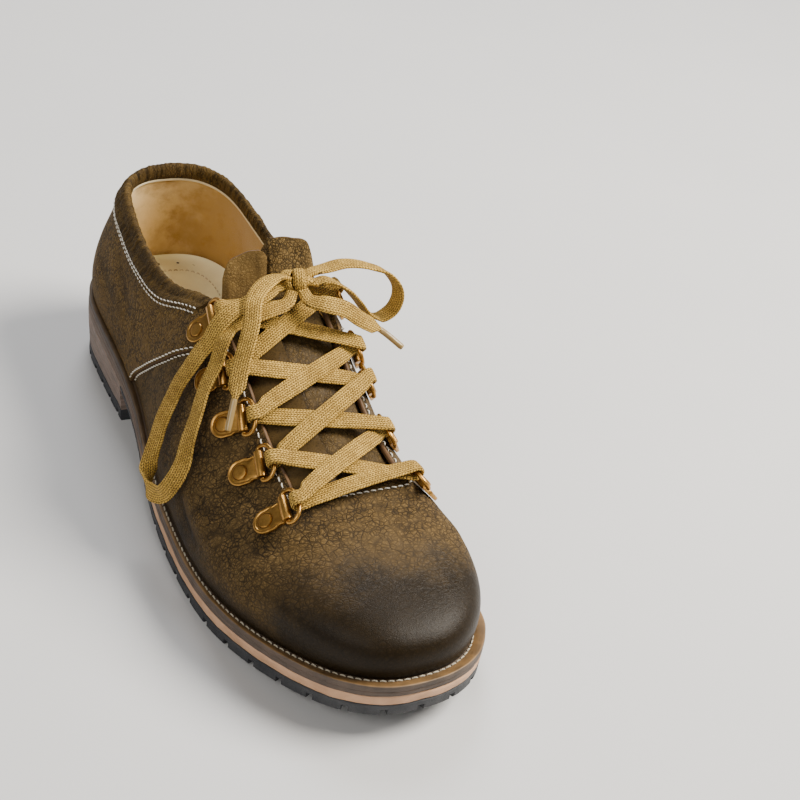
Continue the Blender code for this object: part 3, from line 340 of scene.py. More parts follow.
@dataclass
class Patch:
    """Mesh in the making: points, faces and what the finishes read from them."""

    points: list[Array] = field(default_factory=list)
    faces: list[tuple[int, ...]] = field(default_factory=list)
    slots: list[int] = field(default_factory=list)
    uv: list[Array] = field(default_factory=list)
    tones: dict[str, list[Array]] = field(default_factory=dict)
    count: int = 0

    def add(
        self,
        points: Array,
        faces: Sequence[Sequence[int]],
        slot: int | Array = 0,
        uv: Array | None = None,
        **tones: Array | float,
    ) -> None:
        """Adds points and faces.

        Args:
            points: places in millimetres.
            faces: corners, counted from these points' first.
            slot: material of the faces, one for all or one for each.
            uv: places on the unrolled surface, in millimetres.
            tones: values that the finishes read, one for each point or one for all.
        """
        points = np.asarray(points, float).reshape(-1, 3)
        size = len(points)
        self.faces += [tuple(int(c) + self.count for c in face) for face in faces]
        self.slots += np.broadcast_to(slot, len(faces)).tolist()
        self.uv.append(np.zeros((size, 2)) if uv is None else np.asarray(uv, float).reshape(-1, 2))
        for name in set(self.tones) | set(tones):
            kept = self.tones.setdefault(name, [np.zeros(self.count)])
            value = np.asarray(tones.get(name, 0.0), float).ravel()
            kept.append(np.broadcast_to(value, size))
        self.points.append(points)
        self.count += size

    def close_ends(self, rows: int, columns: int, slots: tuple[int, int]) -> None:
        """Closes both ends of the folded sheet added last, whose two leaves are columns wide."""
        count = 2 * columns
        for end, slot in zip((self.count - rows * count, self.count - count), slots):
            for j in range(columns - 1):
                self.faces.append((end + j, end + j + 1, end + count - 2 - j, end + count - 1 - j))
                self.slots.append(slot)

    def piece(
        self, name: str, finishes: Sequence[Finish], slot: str, node: str = "", sharp: float = 50.0
    ) -> Piece:
        """Object made of the patch, riding on the shoe's body.

        Args:
            name: name of the piece.
            finishes: its finishes by number of slot.
            slot: not used.
            node: solid that it replaces, if any.
            sharp: bend in degrees from which an edge is sharp.

        Returns:
            The object.
        """
        mesh = bpy.data.meshes.new(name)
        mesh.from_pydata(to_frame(np.concatenate(self.points)).tolist(), [], self.faces)
        mesh.polygons.foreach_set("material_index", self.slots)
        for finish in finishes:
            mesh.materials.append(finish.material())
        layer = mesh.uv_layers.new(name=UV_NAME)
        corner = np.zeros(len(mesh.loops), int)
        mesh.loops.foreach_get("vertex_index", corner)
        layer.uv.foreach_set("vector", np.concatenate(self.uv)[corner].astype(np.float32).ravel())
        for tone, parts in self.tones.items():
            held = mesh.attributes.new(tone, "FLOAT", "POINT")
            held.data.foreach_set("value", np.concatenate(parts).astype(np.float32))
        shape = bmesh.new()
        shape.from_mesh(mesh)
        bmesh.ops.recalc_face_normals(shape, faces=shape.faces)
        shape.to_mesh(mesh)
        shape.free()
        mesh.shade_smooth()
        mesh.set_sharp_from_angle(angle=math.radians(sharp))
        made = bpy.data.objects.new(name, mesh)
        bpy.context.scene.collection.objects.link(made)
        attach(made, BODY)
        if node:
            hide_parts(node)
        return made


def run_length(points: Array, axis: int) -> Array:
    """Length run along one axis of a grid of points, starting from 0."""
    steps = np.linalg.norm(np.diff(points, axis=axis), axis=-1)
    first = np.zeros_like(np.take(steps, [0], axis=axis))
    return np.concatenate([first, np.cumsum(steps, axis=axis)], axis=axis)


def tube_frame(path: Array, facing: Array | Point) -> tuple[Array, Array]:
    """Directions across a band and square to it, along a path whose flat side faces the given way."""
    steps = unit(np.diff(path, axis=0))
    ahead = unit(np.concatenate([steps[:1], steps[1:] + steps[:-1], steps[-1:]]))
    side = unit(np.cross(ahead, facing))
    return side, np.cross(side, ahead)


def sweep(
    patch: Patch,
    path: Array,
    facing: tuple[Array, Array],
    half: Array | float,
    thick: Array | float,
    around: int = 14,
    square: float = 2.0,
    **tones: Array | float,
) -> None:
    """Adds a band of rounded section that follows a path.

    Args:
        patch: where the band goes.
        path: middle line.
        facing: directions across the band and square to it.
        half: half width, one or one for each point.
        thick: half thickness, one or one for each point.
        around: points of a section.
        square: 2 gives an oval, more gives fuller corners.
        tones: values for the finishes.
    """
    angle = 2 * np.pi * np.arange(around) / around
    wide, high = (np.sign(v) * np.abs(v) ** (2 / square) for v in (np.cos(angle), np.sin(angle)))
    half, thick = (np.broadcast_to(v, len(path))[:, None] for v in (half, thick))
    side, up = facing
    wide, high = wide * half, high * thick
    points = path[:, None] + side[:, None] * wide[..., None] + up[:, None] * high[..., None]
    uv = unrolled(wide, run_length(path, 0)[:, None])
    patch.add(points, tube_faces(len(path), around), 0, uv, **tones)


def smooth_path(points: Array, step: float) -> Array:
    """Smooth line through points, in steps of about the given length."""
    run = run_length(np.asarray(points, float), 0)
    rows = np.column_stack([run, points])
    return through(rows, np.linspace(0, run[-1], max(4, round(run[-1] / step))))


@dataclass(frozen=True)
class Thread:
    """Row of stitches: each one a short bent strand whose ends dip into the leather."""

    pitch: float = 3.1
    share: float = 0.66
    radius: float = 0.29
    rise: float = 0.26
    slant: float = 0.0
    bends: tuple[float, ...] = (0.0, 0.12, 0.35, 0.65, 0.88, 1.0)
    heights: tuple[float, ...] = (-0.9, 0.1, 1.0, 1.0, 0.1, -0.9)
    fullness: tuple[float, ...] = (0.7, 0.95, 1.0, 1.0, 0.95, 0.7)

    def sew(self, name: str, finish: Finish, lines: Sequence[tuple[Array, Array | Point]]) -> Piece:
        """Makes rows of stitches.

        Args:
            name: name of the piece.
            finish: finish of the thread.
            lines: for each row the places on the leather and the directions, or the one, out of it.

        Returns:
            The piece.
        """
        patch = Patch()
        part, height, full = (np.array(v) for v in (self.bends, self.heights, self.fullness))
        for line, normals in lines:
            run = run_length(line, 0)
            columns = np.column_stack([line, np.broadcast_to(normals, line.shape)]).T
            count = max(1, int(run[-1] / self.pitch))
            long = self.share * run[-1] / count
            for start in (np.arange(count) + 0.5 * (1 - self.share)) * run[-1] / count:
                at = start + part * long
                path, out = np.split(np.stack([np.interp(at, run, c) for c in columns], axis=1), 2, axis=1)
                out = unit(out)
                across = unit(np.cross(path[-1] - path[0], out[2]))
                slant, rise = (part - 0.5) * self.slant * long, height * self.rise
                path = path + across * slant[:, None] + out * rise[:, None]
                sweep(patch, path, tube_frame(path, out), self.radius * full, self.radius * full, 6)
        return patch.piece(name, (finish,), "lace")


# Shader graphs


class Value:
    """Output of a node, which takes part in sums as a number does."""

    def __init__(self, graph: Graph, socket: Socket) -> None:
        """Holds the output."""
        self.graph = graph
        self.socket = socket

    def __add__(self, other: Value | float) -> Value:
        """Sum of two values."""
        return self.graph.math("ADD", self, other)

    def __sub__(self, other: Value | float) -> Value:
        """This value less another."""
        return self.graph.math("SUBTRACT", self, other)

    def __rsub__(self, other: float) -> Value:
        """A number less this value."""
        return self.graph.math("SUBTRACT", other, self)

    def __mul__(self, other: Value | float) -> Value:
        """Product of two values."""
        return self.graph.math("MULTIPLY", self, other)

    def __truediv__(self, other: Value | float) -> Value:
        """This value divided by another."""
        return self.graph.math("DIVIDE", self, other)

    __radd__ = __add__
    __rmul__ = __mul__


Looks = dict[str, Value | float]


class Graph:
    """Node tree in the making."""

    def __init__(self, tree: bpy.types.NodeTree) -> None:
        """Starts on a tree."""
        self.tree = tree

    def node(self, kind: str, **settings: object) -> Node:
        """New node with its settings."""
        made = self.tree.nodes.new(kind)
        for name, value in settings.items():
            setattr(made, name, value)
        return made

    def feed(self, socket: Socket, value: object) -> None:
        """Links an input to an output, or gives the input a value of its own."""
        if isinstance(value, Value):
            self.tree.links.new(value.socket, socket)
        elif socket.type == "RGBA":
            socket.default_value = (*value, 1.0)
        else:
            socket.default_value = value

    def result(self, node: Node, values: Sequence[object] = (), output: int | str = 0) -> Value:
        """Output of a node whose first inputs are fed with values."""
        for socket, value in zip(node.inputs, values):
            self.feed(socket, value)
        return Value(self, node.outputs[output])

    def math(self, operation: str, *values: Value | float) -> Value:
        """Result of a sum."""
        return self.result(self.node("ShaderNodeMath", operation=operation), values)

    def vector(self, operation: str, *values: Value | Point) -> Value:
        """Result of a sum of vectors."""
        return self.result(self.node("ShaderNodeVectorMath", operation=operation), values)

    def mix(self, share: Value, low: Value | Colour, high: Value | Colour) -> Value:
        """Mix of two colours."""
        made = self.node("ShaderNodeMix", data_type="RGBA", clamp_factor=True)
        for number, value in ((0, share), (6, low), (7, high)):
            self.feed(made.inputs[number], value)
        return Value(self, made.outputs[2])

    def span(self, value: Value, low: float, high: float, first: float = 0.0, last: float = 1.0) -> Value:
        """Smooth step of a value from low to high, as first to last."""
        made = self.node("ShaderNodeMapRange", interpolation_type="SMOOTHSTEP")
        return self.result(made, (value, low, high, first, last))

    def noise(
        self, place: Value, size: float, detail: float = 3.0, rough: float = 0.55, output: str = "Fac"
    ) -> Value:
        """Noise from 0 to 1 with lumps of a size in the place's own units."""
        made = self.node("ShaderNodeTexNoise")
        given = {"Vector": place, "Scale": 1.0 / size, "Detail": detail, "Roughness": rough}
        for name, value in given.items():
            self.feed(made.inputs[name], value)
        return Value(self, made.outputs[output])

    def cells(self, place: Value, feature: str) -> Value:
        """Cells one unit wide: the distance from their middles, or from their borders."""
        made = self.node("ShaderNodeTexVoronoi", feature=feature)
        self.feed(made.inputs["Scale"], 1.0)
        return self.result(made, (place,), "Distance")

    def apart(self, place: Value) -> tuple[Value, ...]:
        """The three parts of a vector."""
        made = self.node("ShaderNodeSeparateXYZ")
        self.feed(made.inputs[0], place)
        return tuple(Value(self, output) for output in made.outputs)

    def together(self, x: Value, y: Value, z: Value | float = 0.0) -> Value:
        """A vector from three parts."""
        return self.result(self.node("ShaderNodeCombineXYZ"), (x, y, z))

    def surface(self) -> Value:
        """Place on the unrolled surface, in millimetres."""
        return self.result(self.node("ShaderNodeUVMap", uv_map=UV_NAME))

    def space(self) -> Value:
        """Place in the shoe's frame, in millimetres."""
        place = self.result(self.node("ShaderNodeTexCoord"), (), "Object")
        return self.vector("MULTIPLY", place, (1 / MM,) * 3)

    def tone(self, name: str) -> Value:
        """Value that a mesh holds for each of its points."""
        return self.result(self.node("ShaderNodeAttribute", attribute_name=name), (), "Fac")

    def bump(self, height: Value, reach: float) -> Value:
        """Normal of a surface with a fine relief, reach being its height in millimetres."""
        made = self.node("ShaderNodeBump")
        for name, value in (("Strength", 1.0), ("Distance", reach * MM), ("Height", height)):
            self.feed(made.inputs[name], value)
        return Value(self, made.outputs[0])


class SharedGroup:
    """Shader node group that several finishes use, built once."""

    name = ""
    takes: tuple[tuple[str, str], ...] = ()
    gives: tuple[str, ...] = ()
    made: dict[str, bpy.types.NodeTree] = {}

    def fill(self, graph: Graph, *given: Value) -> tuple[Value, ...]:
        """Builds the group's nodes on its inputs and returns what goes to its outputs."""
        raise NotImplementedError

    def tree(self) -> bpy.types.NodeTree:
        """The group's tree, made when first asked for."""
        if self.name not in self.made:
            tree = bpy.data.node_groups.new(self.name, "ShaderNodeTree")
            for name, kind in self.takes:
                tree.interface.new_socket(name=name, in_out="INPUT", socket_type="NodeSocket" + kind)
            for name in self.gives:
                tree.interface.new_socket(name=name, in_out="OUTPUT", socket_type="NodeSocketFloat")
            graph = Graph(tree)
            given = graph.node("NodeGroupInput").outputs[: len(self.takes)]
            filled = self.fill(graph, *(Value(graph, socket) for socket in given))
            for socket, value in zip(graph.node("NodeGroupOutput").inputs, filled):
                graph.feed(socket, value)
            self.made[self.name] = tree
        return self.made[self.name]

    def place(self, graph: Graph, **values: object) -> tuple[Value, ...]:
        """Puts the group into a finish with its own values, by input name, and returns its outputs."""
        node = graph.node("ShaderNodeGroup", node_tree=self.tree())
        for name, value in values.items():
            graph.feed(node.inputs[name], value)
        return tuple(Value(graph, output) for output in node.outputs)


# Nets of cracks: size of the cells, width of the cracks, size of the patches where they
# show, how strongly they show outside these, and their share
CRACK_NETS = ((1.7, 0.13, 9.0, 0.55, 1.0), (0.85, 0.24, 6.0, 0.7, 0.95), (0.45, 0.3, 4.0, 0.5, 0.6))


class GrainGroup(SharedGroup):
    """Cracked grain: three nets of cracks, drawn out one way, with pores between them."""

    name = "Cracked grain"
    takes = (("Place", "Vector"), ("Cell", "Float"), ("Draw", "Vector"))
    gives = ("Crack", "Pore", "Height")

    def fill(self, graph: Graph, *given: Value) -> tuple[Value, ...]:
        """Nets of cells in space, warped by noise, each strong only in places."""
        place, cell, draw = given
        warp = graph.vector("SUBTRACT", graph.noise(place, 1 / 0.3, 1.0, 0.5, "Color"), (0.5, 0.5, 0.5))
        moved = graph.vector("ADD", place, graph.vector("MULTIPLY", warp, (2.0, 2.0, 2.0)))
        stretch = graph.vector("MULTIPLY", draw, graph.together(cell, cell, cell))
        drawn = graph.vector("DIVIDE", moved, stretch)
        crack, swell = 0.0, 0.0
        for size, wide, patch, least, share in CRACK_NETS:
            edge = graph.cells(graph.vector("DIVIDE", drawn, (size,) * 3), "DISTANCE_TO_EDGE")
            often = graph.span(graph.noise(place, patch, 2.0), 0.36, 0.6, least, 1.0)
            crack = graph.math("MAXIMUM", crack, (1.0 - graph.span(edge, 0.0, wide)) * (often * share))
            swell = swell + graph.span(edge, 0.0, 0.45) * (0.25 * size)
        pore = graph.noise(place, 0.6, 3.0, 0.7)
        return crack, pore, swell - crack * 0.6 + pore * 0.35


class MottleGroup(SharedGroup):
    """Uneven dye and handling: broad clouds with finer ones in them."""

    name = "Mottle"
    takes = (("Place", "Vector"), ("Size", "Float"))
    gives = ("Cloud", "Speck")

    def fill(self, graph: Graph, *given: Value) -> tuple[Value, ...]:
        """Noise at two sizes."""
        place, size = given
        place = graph.vector("DIVIDE", place, graph.together(size, size, size))
        lumps = (graph.noise(place, 1.0, 5.0, 0.6), graph.noise(place, 0.06, 3.0, 0.65))
        return tuple(graph.span(lump, 0.3, 0.7) for lump in lumps)


class HerringboneGroup(SharedGroup):
    """Flat woven lace: ribs of slanting stitches that lean to and fro."""

    name = "Herringbone"
    takes = (("Place", "Vector"), ("Rib", "Float"), ("Stitch", "Float"))
    gives = ("Height", "Gap", "Yarn")

    def fill(self, graph: Graph, *given: Value) -> tuple[Value, ...]:
        """Ribs across and stitches along, with noise in both."""
        place, rib, stitch = given
        across, along, _ = graph.apart(place)
        column = (across + (graph.noise(place, 2.2, 1.0) - 0.5) * 0.5) / rib
        index, inside = (graph.math(part, column) for part in ("FLOOR", "FRACT"))
        lean = graph.math("PINGPONG", index, 1.0) * 2.0 - 1.0
        row = along / stitch + lean * ((inside - 0.5) * 0.9)
        low = graph.math("PINGPONG", inside, 0.5)
        high = graph.math("PINGPONG", graph.math("FRACT", row), 0.5)
        body = graph.span(low, 0.0, 0.3) * graph.span(high, 0.0, 0.32)
        yarn = graph.node("ShaderNodeTexWhiteNoise", noise_dimensions="2D")
        stitch_place = graph.together(index, graph.math("FLOOR", row))
        return body, 1.0 - graph.span(body, 0.0, 0.5), graph.result(yarn, (stitch_place,), "Value")


class LayerGroup(SharedGroup):
    """Cut edge of leather: fine fibres that run along the edge, with darker stain."""

    name = "Cut edge"
    takes = (("Place", "Vector"),)
    gives = ("Fibre", "Stain")

    def fill(self, graph: Graph, *given: Value) -> tuple[Value, ...]:
        """Noise that is drawn out along the edge."""
        stretched = graph.vector("MULTIPLY", given[0], (0.09, 1.0, 1.0))
        stain = graph.span(graph.noise(given[0], 9.0, 4.0), 0.32, 0.7)
        return graph.noise(stretched, 0.55, 4.0, 0.65), stain


GRAIN, MOTTLE, HERRINGBONE, CUT_EDGE = GrainGroup(), MottleGroup(), HerringboneGroup(), LayerGroup()


# Finishes


@dataclass(frozen=True)
class Finish:
    """Look of one material."""

    name: str

    def looks(self, graph: Graph) -> Looks:
        """What goes to the shader's inputs, by their names."""
        raise NotImplementedError

    def material(self) -> bpy.types.Material:
        """The material, made when first asked for."""
        made = bpy.data.materials.get(self.name)
        if made is None:
            made = bpy.data.materials.new(self.name)
            made.use_nodes = True
            graph = Graph(made.node_tree)
            shader = made.node_tree.nodes["Principled BSDF"]
            for name, value in self.looks(graph).items():
                graph.feed(shader.inputs[name], value)
        return made


@dataclass(frozen=True)
class OiledLeather(Finish):
    """Oiled leather with cracked grain, rubbed dark and given painted shade where its mesh says so."""

    dark: Colour = (0.12, 0.073, 0.025)
    light: Colour = (0.152, 0.093, 0.032)
    rubbed: Colour = (0.22, 0.14, 0.05)
    crack: Colour = (0.004, 0.0025, 0.001)
    # Near-black of the rubbed toe and of the painted shade at the toe's front, in creases and inside the
    # throat
    burnish_and_shade_colour: Colour = (0.004, 0.0026, 0.0012)
    cell: float = 1.9
    drawn: Point = (1.5, 1.0, 1.0)
    unrolled: bool = False
    relief: float = 0.3

    def looks(self, graph: Graph) -> Looks:
        """Clouded dye, rubbed flecks, a toe rubbed dark with painted shade on its front, painted shade in
        creases, and dark cracks.
        """
        space = graph.space()
        burnish, crease = graph.tone("burnish"), graph.tone("crease")
        place = graph.surface() if self.unrolled else space
        crack, pore, height = GRAIN.place(graph, Place=place, Cell=self.cell, Draw=self.drawn)
        cloud, speck = MOTTLE.place(graph, Place=space, Size=26.0)
        base = graph.mix(cloud, self.dark, self.light)
        rub = speck * graph.span(graph.noise(space, 10.0), 0.4, 0.7) * (0.5 - burnish * 0.5)
        base = graph.mix(rub, base, self.rubbed)
        base = graph.mix(graph.span(pore, 0.42, 0.7, 0.0, 0.6), base, self.dark)
        # Rubbed dark toe and welt, with painted shade at the toe's front, on the lower forefoot and inside
        # the throat
        worn_and_shaded = graph.span(burnish + (cloud - 0.5) * 0.35, 0.08, 0.9)
        base = graph.mix(worn_and_shaded * 0.9, base, self.burnish_and_shade_colour)
        # Painted shade in the creases
        base = graph.mix(crease * 0.8, base, self.burnish_and_shade_colour)
        relief = height * (1.0 - burnish * 0.88) + graph.noise(space, 0.35) * (burnish * 0.4)
        return {
            "Base Color": graph.mix(crack * (0.92 - burnish * 0.4), base, self.crack),
            "Roughness": pore * 0.2 + 0.6 - worn_and_shaded * 0.33,
            "Normal": graph.bump(relief, self.relief),
            "Specular IOR Level": 0.12,
        }


@dataclass(frozen=True)
class Suede(Finish):
    """Napped leather, with painted shade that makes the medial side of the shoe darker than the lateral one.
    """

    # pale: the lit lateral side; deep: the medial side under painted shade, also used for stains and the nap
    pale: Colour = (0.78, 0.56, 0.26)
    deep: Colour = (0.27, 0.148, 0.031)
    nap: float = 0.16
    turn: float = 22.0

    def looks(self, graph: Graph) -> Looks:
        """Clouds, painted shade on the medial side, stains of wear that grow there, and a short nap."""
        space = graph.space()
        cloud, _ = MOTTLE.place(graph, Place=space, Size=18.0)
        # Painted shade: the colour darkens towards the medial side
        side = graph.span(graph.apart(space)[0] + (cloud - 0.5) * 22.0, -self.turn, self.turn)
        base = graph.mix(side * 0.85, self.pale, self.deep)
        stain = graph.span(graph.noise(space, 9.0, 4.0), 0.5, 0.72)
        # Stains of wear, stronger on the side with painted shade
        base = graph.mix(stain * (side * 0.4 + 0.18), base, self.deep)
        fine = graph.noise(space, 0.5, 3.0, 0.7)
        return {
            "Base Color": graph.mix(fine * 0.3, base, self.deep),
            "Roughness": graph.span(fine, 0.2, 0.8, 0.75, 0.95),
            "Normal": graph.bump(fine, self.nap),
            "Specular IOR Level": 0.25,
            "Sheen Weight": 0.25,
            "Sheen Roughness": 0.4,
        }


@dataclass(frozen=True)
class SmoothLeather(Finish):
    """Smooth leather of the insole and of trimmed edges, with pores and faint marks."""

    colour: Colour = (0.97, 0.96, 0.7)
    mark: Colour = (0.62, 0.54, 0.36)
    rough: float = 0.4

    def looks(self, graph: Graph) -> Looks:
        """Faint clouds and pores."""
        space = graph.space()
        cloud, speck = MOTTLE.place(graph, Place=space, Size=30.0)
        pores = graph.cells(graph.vector("MULTIPLY", space, (1.6, 1.6, 1.6)), "F1")
        return {
            "Base Color": graph.mix(cloud * 0.35, self.colour, self.mark),
            "Roughness": speck * 0.12 + self.rough,
            "Normal": graph.bump(graph.span(pores, 0.0, 0.3), 0.05),
            "Specular IOR Level": 0.4,
        }


@dataclass(frozen=True)
class EdgeLeather(Finish):
    """Cut and waxed edge of a leather layer, paler at its rims and darker in places where the mesh says so.
    """

    colour: Colour
    stain: Colour
    rim: Colour
    darkened: Colour = (0.03, 0.022, 0.017)
    fibre: float = 0.45
    rough: float = 0.5

    def looks(self, graph: Graph) -> Looks:
        """Fibres, stain, rims and darker places."""
        fibre, stain = CUT_EDGE.place(graph, Place=graph.surface())
        base = graph.mix(stain, self.colour, self.stain)
        base = graph.mix(fibre * self.fibre, base, self.rim)
        base = graph.mix(graph.tone("rim") * graph.span(stain, 0.0, 1.0, 0.9, 0.35), base, self.rim)
        return {
            # Darker where the mesh says so
            "Base Color": graph.mix(graph.tone("soil") * 0.85, base, self.darkened),
            "Roughness": fibre * 0.2 + self.rough,
            "Normal": graph.bump(fibre, 0.12),
            "Specular IOR Level": 0.4,
        }


@dataclass(frozen=True)
class Rubber(Finish):
    """Moulded rubber with dust in clouds."""

    colour: Colour = (0.018, 0.020, 0.024)
    dust: Colour = (0.085, 0.085, 0.088)

    def looks(self, graph: Graph) -> Looks:
        """Dark rubber, dusty in clouds."""
        cloud, speck = MOTTLE.place(graph, Place=graph.space(), Size=9.0)
        return {
            "Base Color": graph.mix(cloud * 0.35, self.colour, self.dust),
            "Roughness": speck * 0.2 + 0.55,
            "Normal": graph.bump(speck, 0.08),
        }


@dataclass(frozen=True)
class AgedBrass(Finish):
    """Aged brass, darker in its clouds and brighter where it is rubbed."""

    colour: Colour = (0.56, 0.3, 0.075)
    dull: Colour = (0.19, 0.092, 0.02)

    def looks(self, graph: Graph) -> Looks:
        """Tarnish in clouds with fine scratches."""
        space = graph.space()
        cloud, speck = MOTTLE.place(graph, Place=space, Size=5.0)
        tarnish = graph.math("MAXIMUM", cloud * 0.55, graph.tone("groove") * 0.85)
        scratch = graph.noise(graph.vector("MULTIPLY", space, (0.3, 0.3, 1.0)), 0.35)
        return {
            "Base Color": graph.mix(tarnish, self.colour, self.dull),
            "Roughness": speck * 0.16 + 0.27,
            "Normal": graph.bump(scratch, 0.03),
            "Metallic": 1.0,
        }


@dataclass(frozen=True)
class WovenLace(Finish):
    """Flat cotton lace in a herringbone weave."""

    yarn: Colour = (0.36, 0.205, 0.036)
    pale: Colour = (0.84, 0.52, 0.105)
    ground: Colour = (0.016, 0.009, 0.002)
    rib: float = 1.0
    stitch: float = 1.25

    def looks(self, graph: Graph) -> Looks:
        """Stitches of uneven tone with painted shade in the gaps between them."""
        space = graph.space()
        height, gap, yarn = HERRINGBONE.place(graph, Place=graph.surface(), Rib=self.rib, Stitch=self.stitch)
        cloud, _ = MOTTLE.place(graph, Place=space, Size=14.0)
        base = graph.mix((yarn + cloud) * 0.45, self.yarn, self.pale)
        fuzz = graph.noise(space, 0.22, 2.0)
        return {
            # Painted shade in the gaps between the stitches
            "Base Color": graph.mix(gap * 0.9, base, self.ground),
            "Roughness": graph.span(fuzz, 0.2, 0.8, 0.72, 0.95),
            "Normal": graph.bump(height + fuzz * 0.35, 0.3),
            "Specular IOR Level": 0.25,
        }


@dataclass(frozen=True)
class WaxedThread(Finish):
    """Sewing thread, twisted and waxed."""

    colour: Colour = (0.84, 0.8, 0.7)
    dirt: Colour = (0.5, 0.42, 0.3)

    def looks(self, graph: Graph) -> Looks:
        """Pale twist, soiled in places."""
        across, along, _ = graph.apart(graph.surface())
        soil = graph.span(graph.noise(graph.space(), 6.0), 0.45, 0.75)
        return {
            "Base Color": graph.mix(soil * 0.6, self.colour, self.dirt),
            "Roughness": graph.span(soil, 0.0, 1.0, 0.5, 0.7),
            "Normal": graph.bump(graph.math("SINE", (along + across * 1.4) * 9.0), 0.06),
        }


@dataclass(frozen=True)
class ClearSleeve(Finish):
    """Sleeve of clear plastic shrunk onto the lace's end."""

    colour: Colour = (0.38, 0.26, 0.1)
    under: Colour = (0.17, 0.105, 0.03)

    def looks(self, graph: Graph) -> Looks:
        """The lace shows through, streaked along the sleeve."""
        across, along, _ = graph.apart(graph.surface())
        streak = graph.noise(graph.together(across * 3.0, along * 0.25), 0.9)
        return {
            "Base Color": graph.mix(streak, self.colour, self.under),
            "Roughness": graph.span(streak, 0.0, 1.0, 0.25, 0.4),
            "Coat Weight": 0.25,
        }


@dataclass(frozen=True)
class PaleFloor(Finish):
    """Matt floor with a very faint unevenness."""

    low: Colour = (0.55, 0.55, 0.55)
    high: Colour = (0.6, 0.595, 0.59)

    def looks(self, graph: Graph) -> Looks:
        """Broad, faint clouds."""
        cloud = graph.noise(graph.space(), 160.0)
        return {"Base Color": graph.mix(cloud, self.low, self.high), "Roughness": 0.75}


UPPER_LEATHER = OiledLeather("oiled_leather")
QUARTER_LEATHER = OiledLeather(
    "quarter_hide", (0.15, 0.085, 0.022), (0.22, 0.128, 0.034), cell=1.8, drawn=(1.0, 1.0, 1.4)
)
BAND_LEATHER = OiledLeather(
    "band_hide",
    (0.125, 0.072, 0.019),
    (0.2, 0.118, 0.031),
    cell=1.3,
    drawn=(1.0, 1.2, 1.0),
    unrolled=True,
    relief=0.34,
)
TONGUE_LEATHER = OiledLeather(
    "tongue_hide", (0.13, 0.078, 0.024), (0.31, 0.195, 0.063), cell=1.6, drawn=(1.0, 1.3, 1.2)
)
TONGUE_SUEDE = OiledLeather(
    "tongue_flap", (0.2, 0.12, 0.036), (0.34, 0.21, 0.066), crack=(0.09, 0.053, 0.016), cell=1.2, relief=0.16
)
LINING = Suede("golden_lining")
RAW_EDGE = EdgeLeather("raw_edge", (0.1, 0.047, 0.014), (0.04, 0.02, 0.007), (0.18, 0.09, 0.03))
LINING_EDGE = SmoothLeather("lining_edge", (0.62, 0.52, 0.33), rough=0.6)
INSOLE_LEATHER = SmoothLeather("sock_hide")
WELT_LEATHER = EdgeLeather(
    "welt_strap", (0.16, 0.085, 0.028), (0.06, 0.034, 0.014), (0.27, 0.16, 0.066), rough=0.4
)
MIDSOLE_EDGE = EdgeLeather("midsole_edge", (0.085, 0.057, 0.04), (0.036, 0.026, 0.02), (0.16, 0.115, 0.085))
TAN_EDGE = EdgeLeather("tan_edge", (0.56, 0.32, 0.18), (0.4, 0.215, 0.115), (0.66, 0.42, 0.26), rough=0.45)
STACK_EDGE = EdgeLeather(
    "stack_edge", (0.1, 0.072, 0.058), (0.014, 0.011, 0.01), (0.34, 0.25, 0.2), fibre=0.8
)
SOLE_RUBBER = Rubber("sole_rubber")
BRASS = AgedBrass("aged_brass")
LACE_WEAVE = WovenLace("lace_weave")
CREAM_THREAD = WaxedThread("cream_thread")
WELT_THREAD = WaxedThread("welt_thread", (0.56, 0.5, 0.38), (0.26, 0.2, 0.12))
AGLET_SLEEVE = ClearSleeve("aglet_sleeve")
FLOOR = PaleFloor("pale_floor")


# Upper


class Crease(NamedTuple):
    """Soft trough pressed into the wall, through places given as along and share."""

    sides: tuple[Side, ...]
    path: Table
    width: float
    depth: float


BOTH = (Side.LATERAL, Side.MEDIAL)
CREASES = (
    Crease((Side.LATERAL,), ((0.60, 0.22), (0.65, 0.15), (0.71, 0.18)), 5.0, 1.9),
    Crease(BOTH, ((0.70, 0.52), (0.66, 0.36), (0.655, 0.2)), 4.0, 0.7),
    Crease((Side.LATERAL,), ((0.76, 0.6), (0.72, 0.45), (0.70, 0.28)), 4.5, 0.7),
    Crease((Side.LATERAL,), ((0.62, 0.64), (0.595, 0.48), (0.585, 0.34)), 4.0, 0.6),
    Crease(BOTH, ((0.86, 0.8), (0.80, 0.62), (0.77, 0.45)), 5.0, 0.5),
    Crease((Side.MEDIAL,), ((0.62, 0.6), (0.595, 0.45), (0.585, 0.3)), 4.0, 0.6),
    Crease(BOTH, ((0.16, 0.78), (0.22, 0.62), (0.3, 0.52)), 5.0, 0.6),
    Crease(BOTH, ((0.08, 0.5), (0.16, 0.42), (0.25, 0.4)), 6.0, 0.6),
)


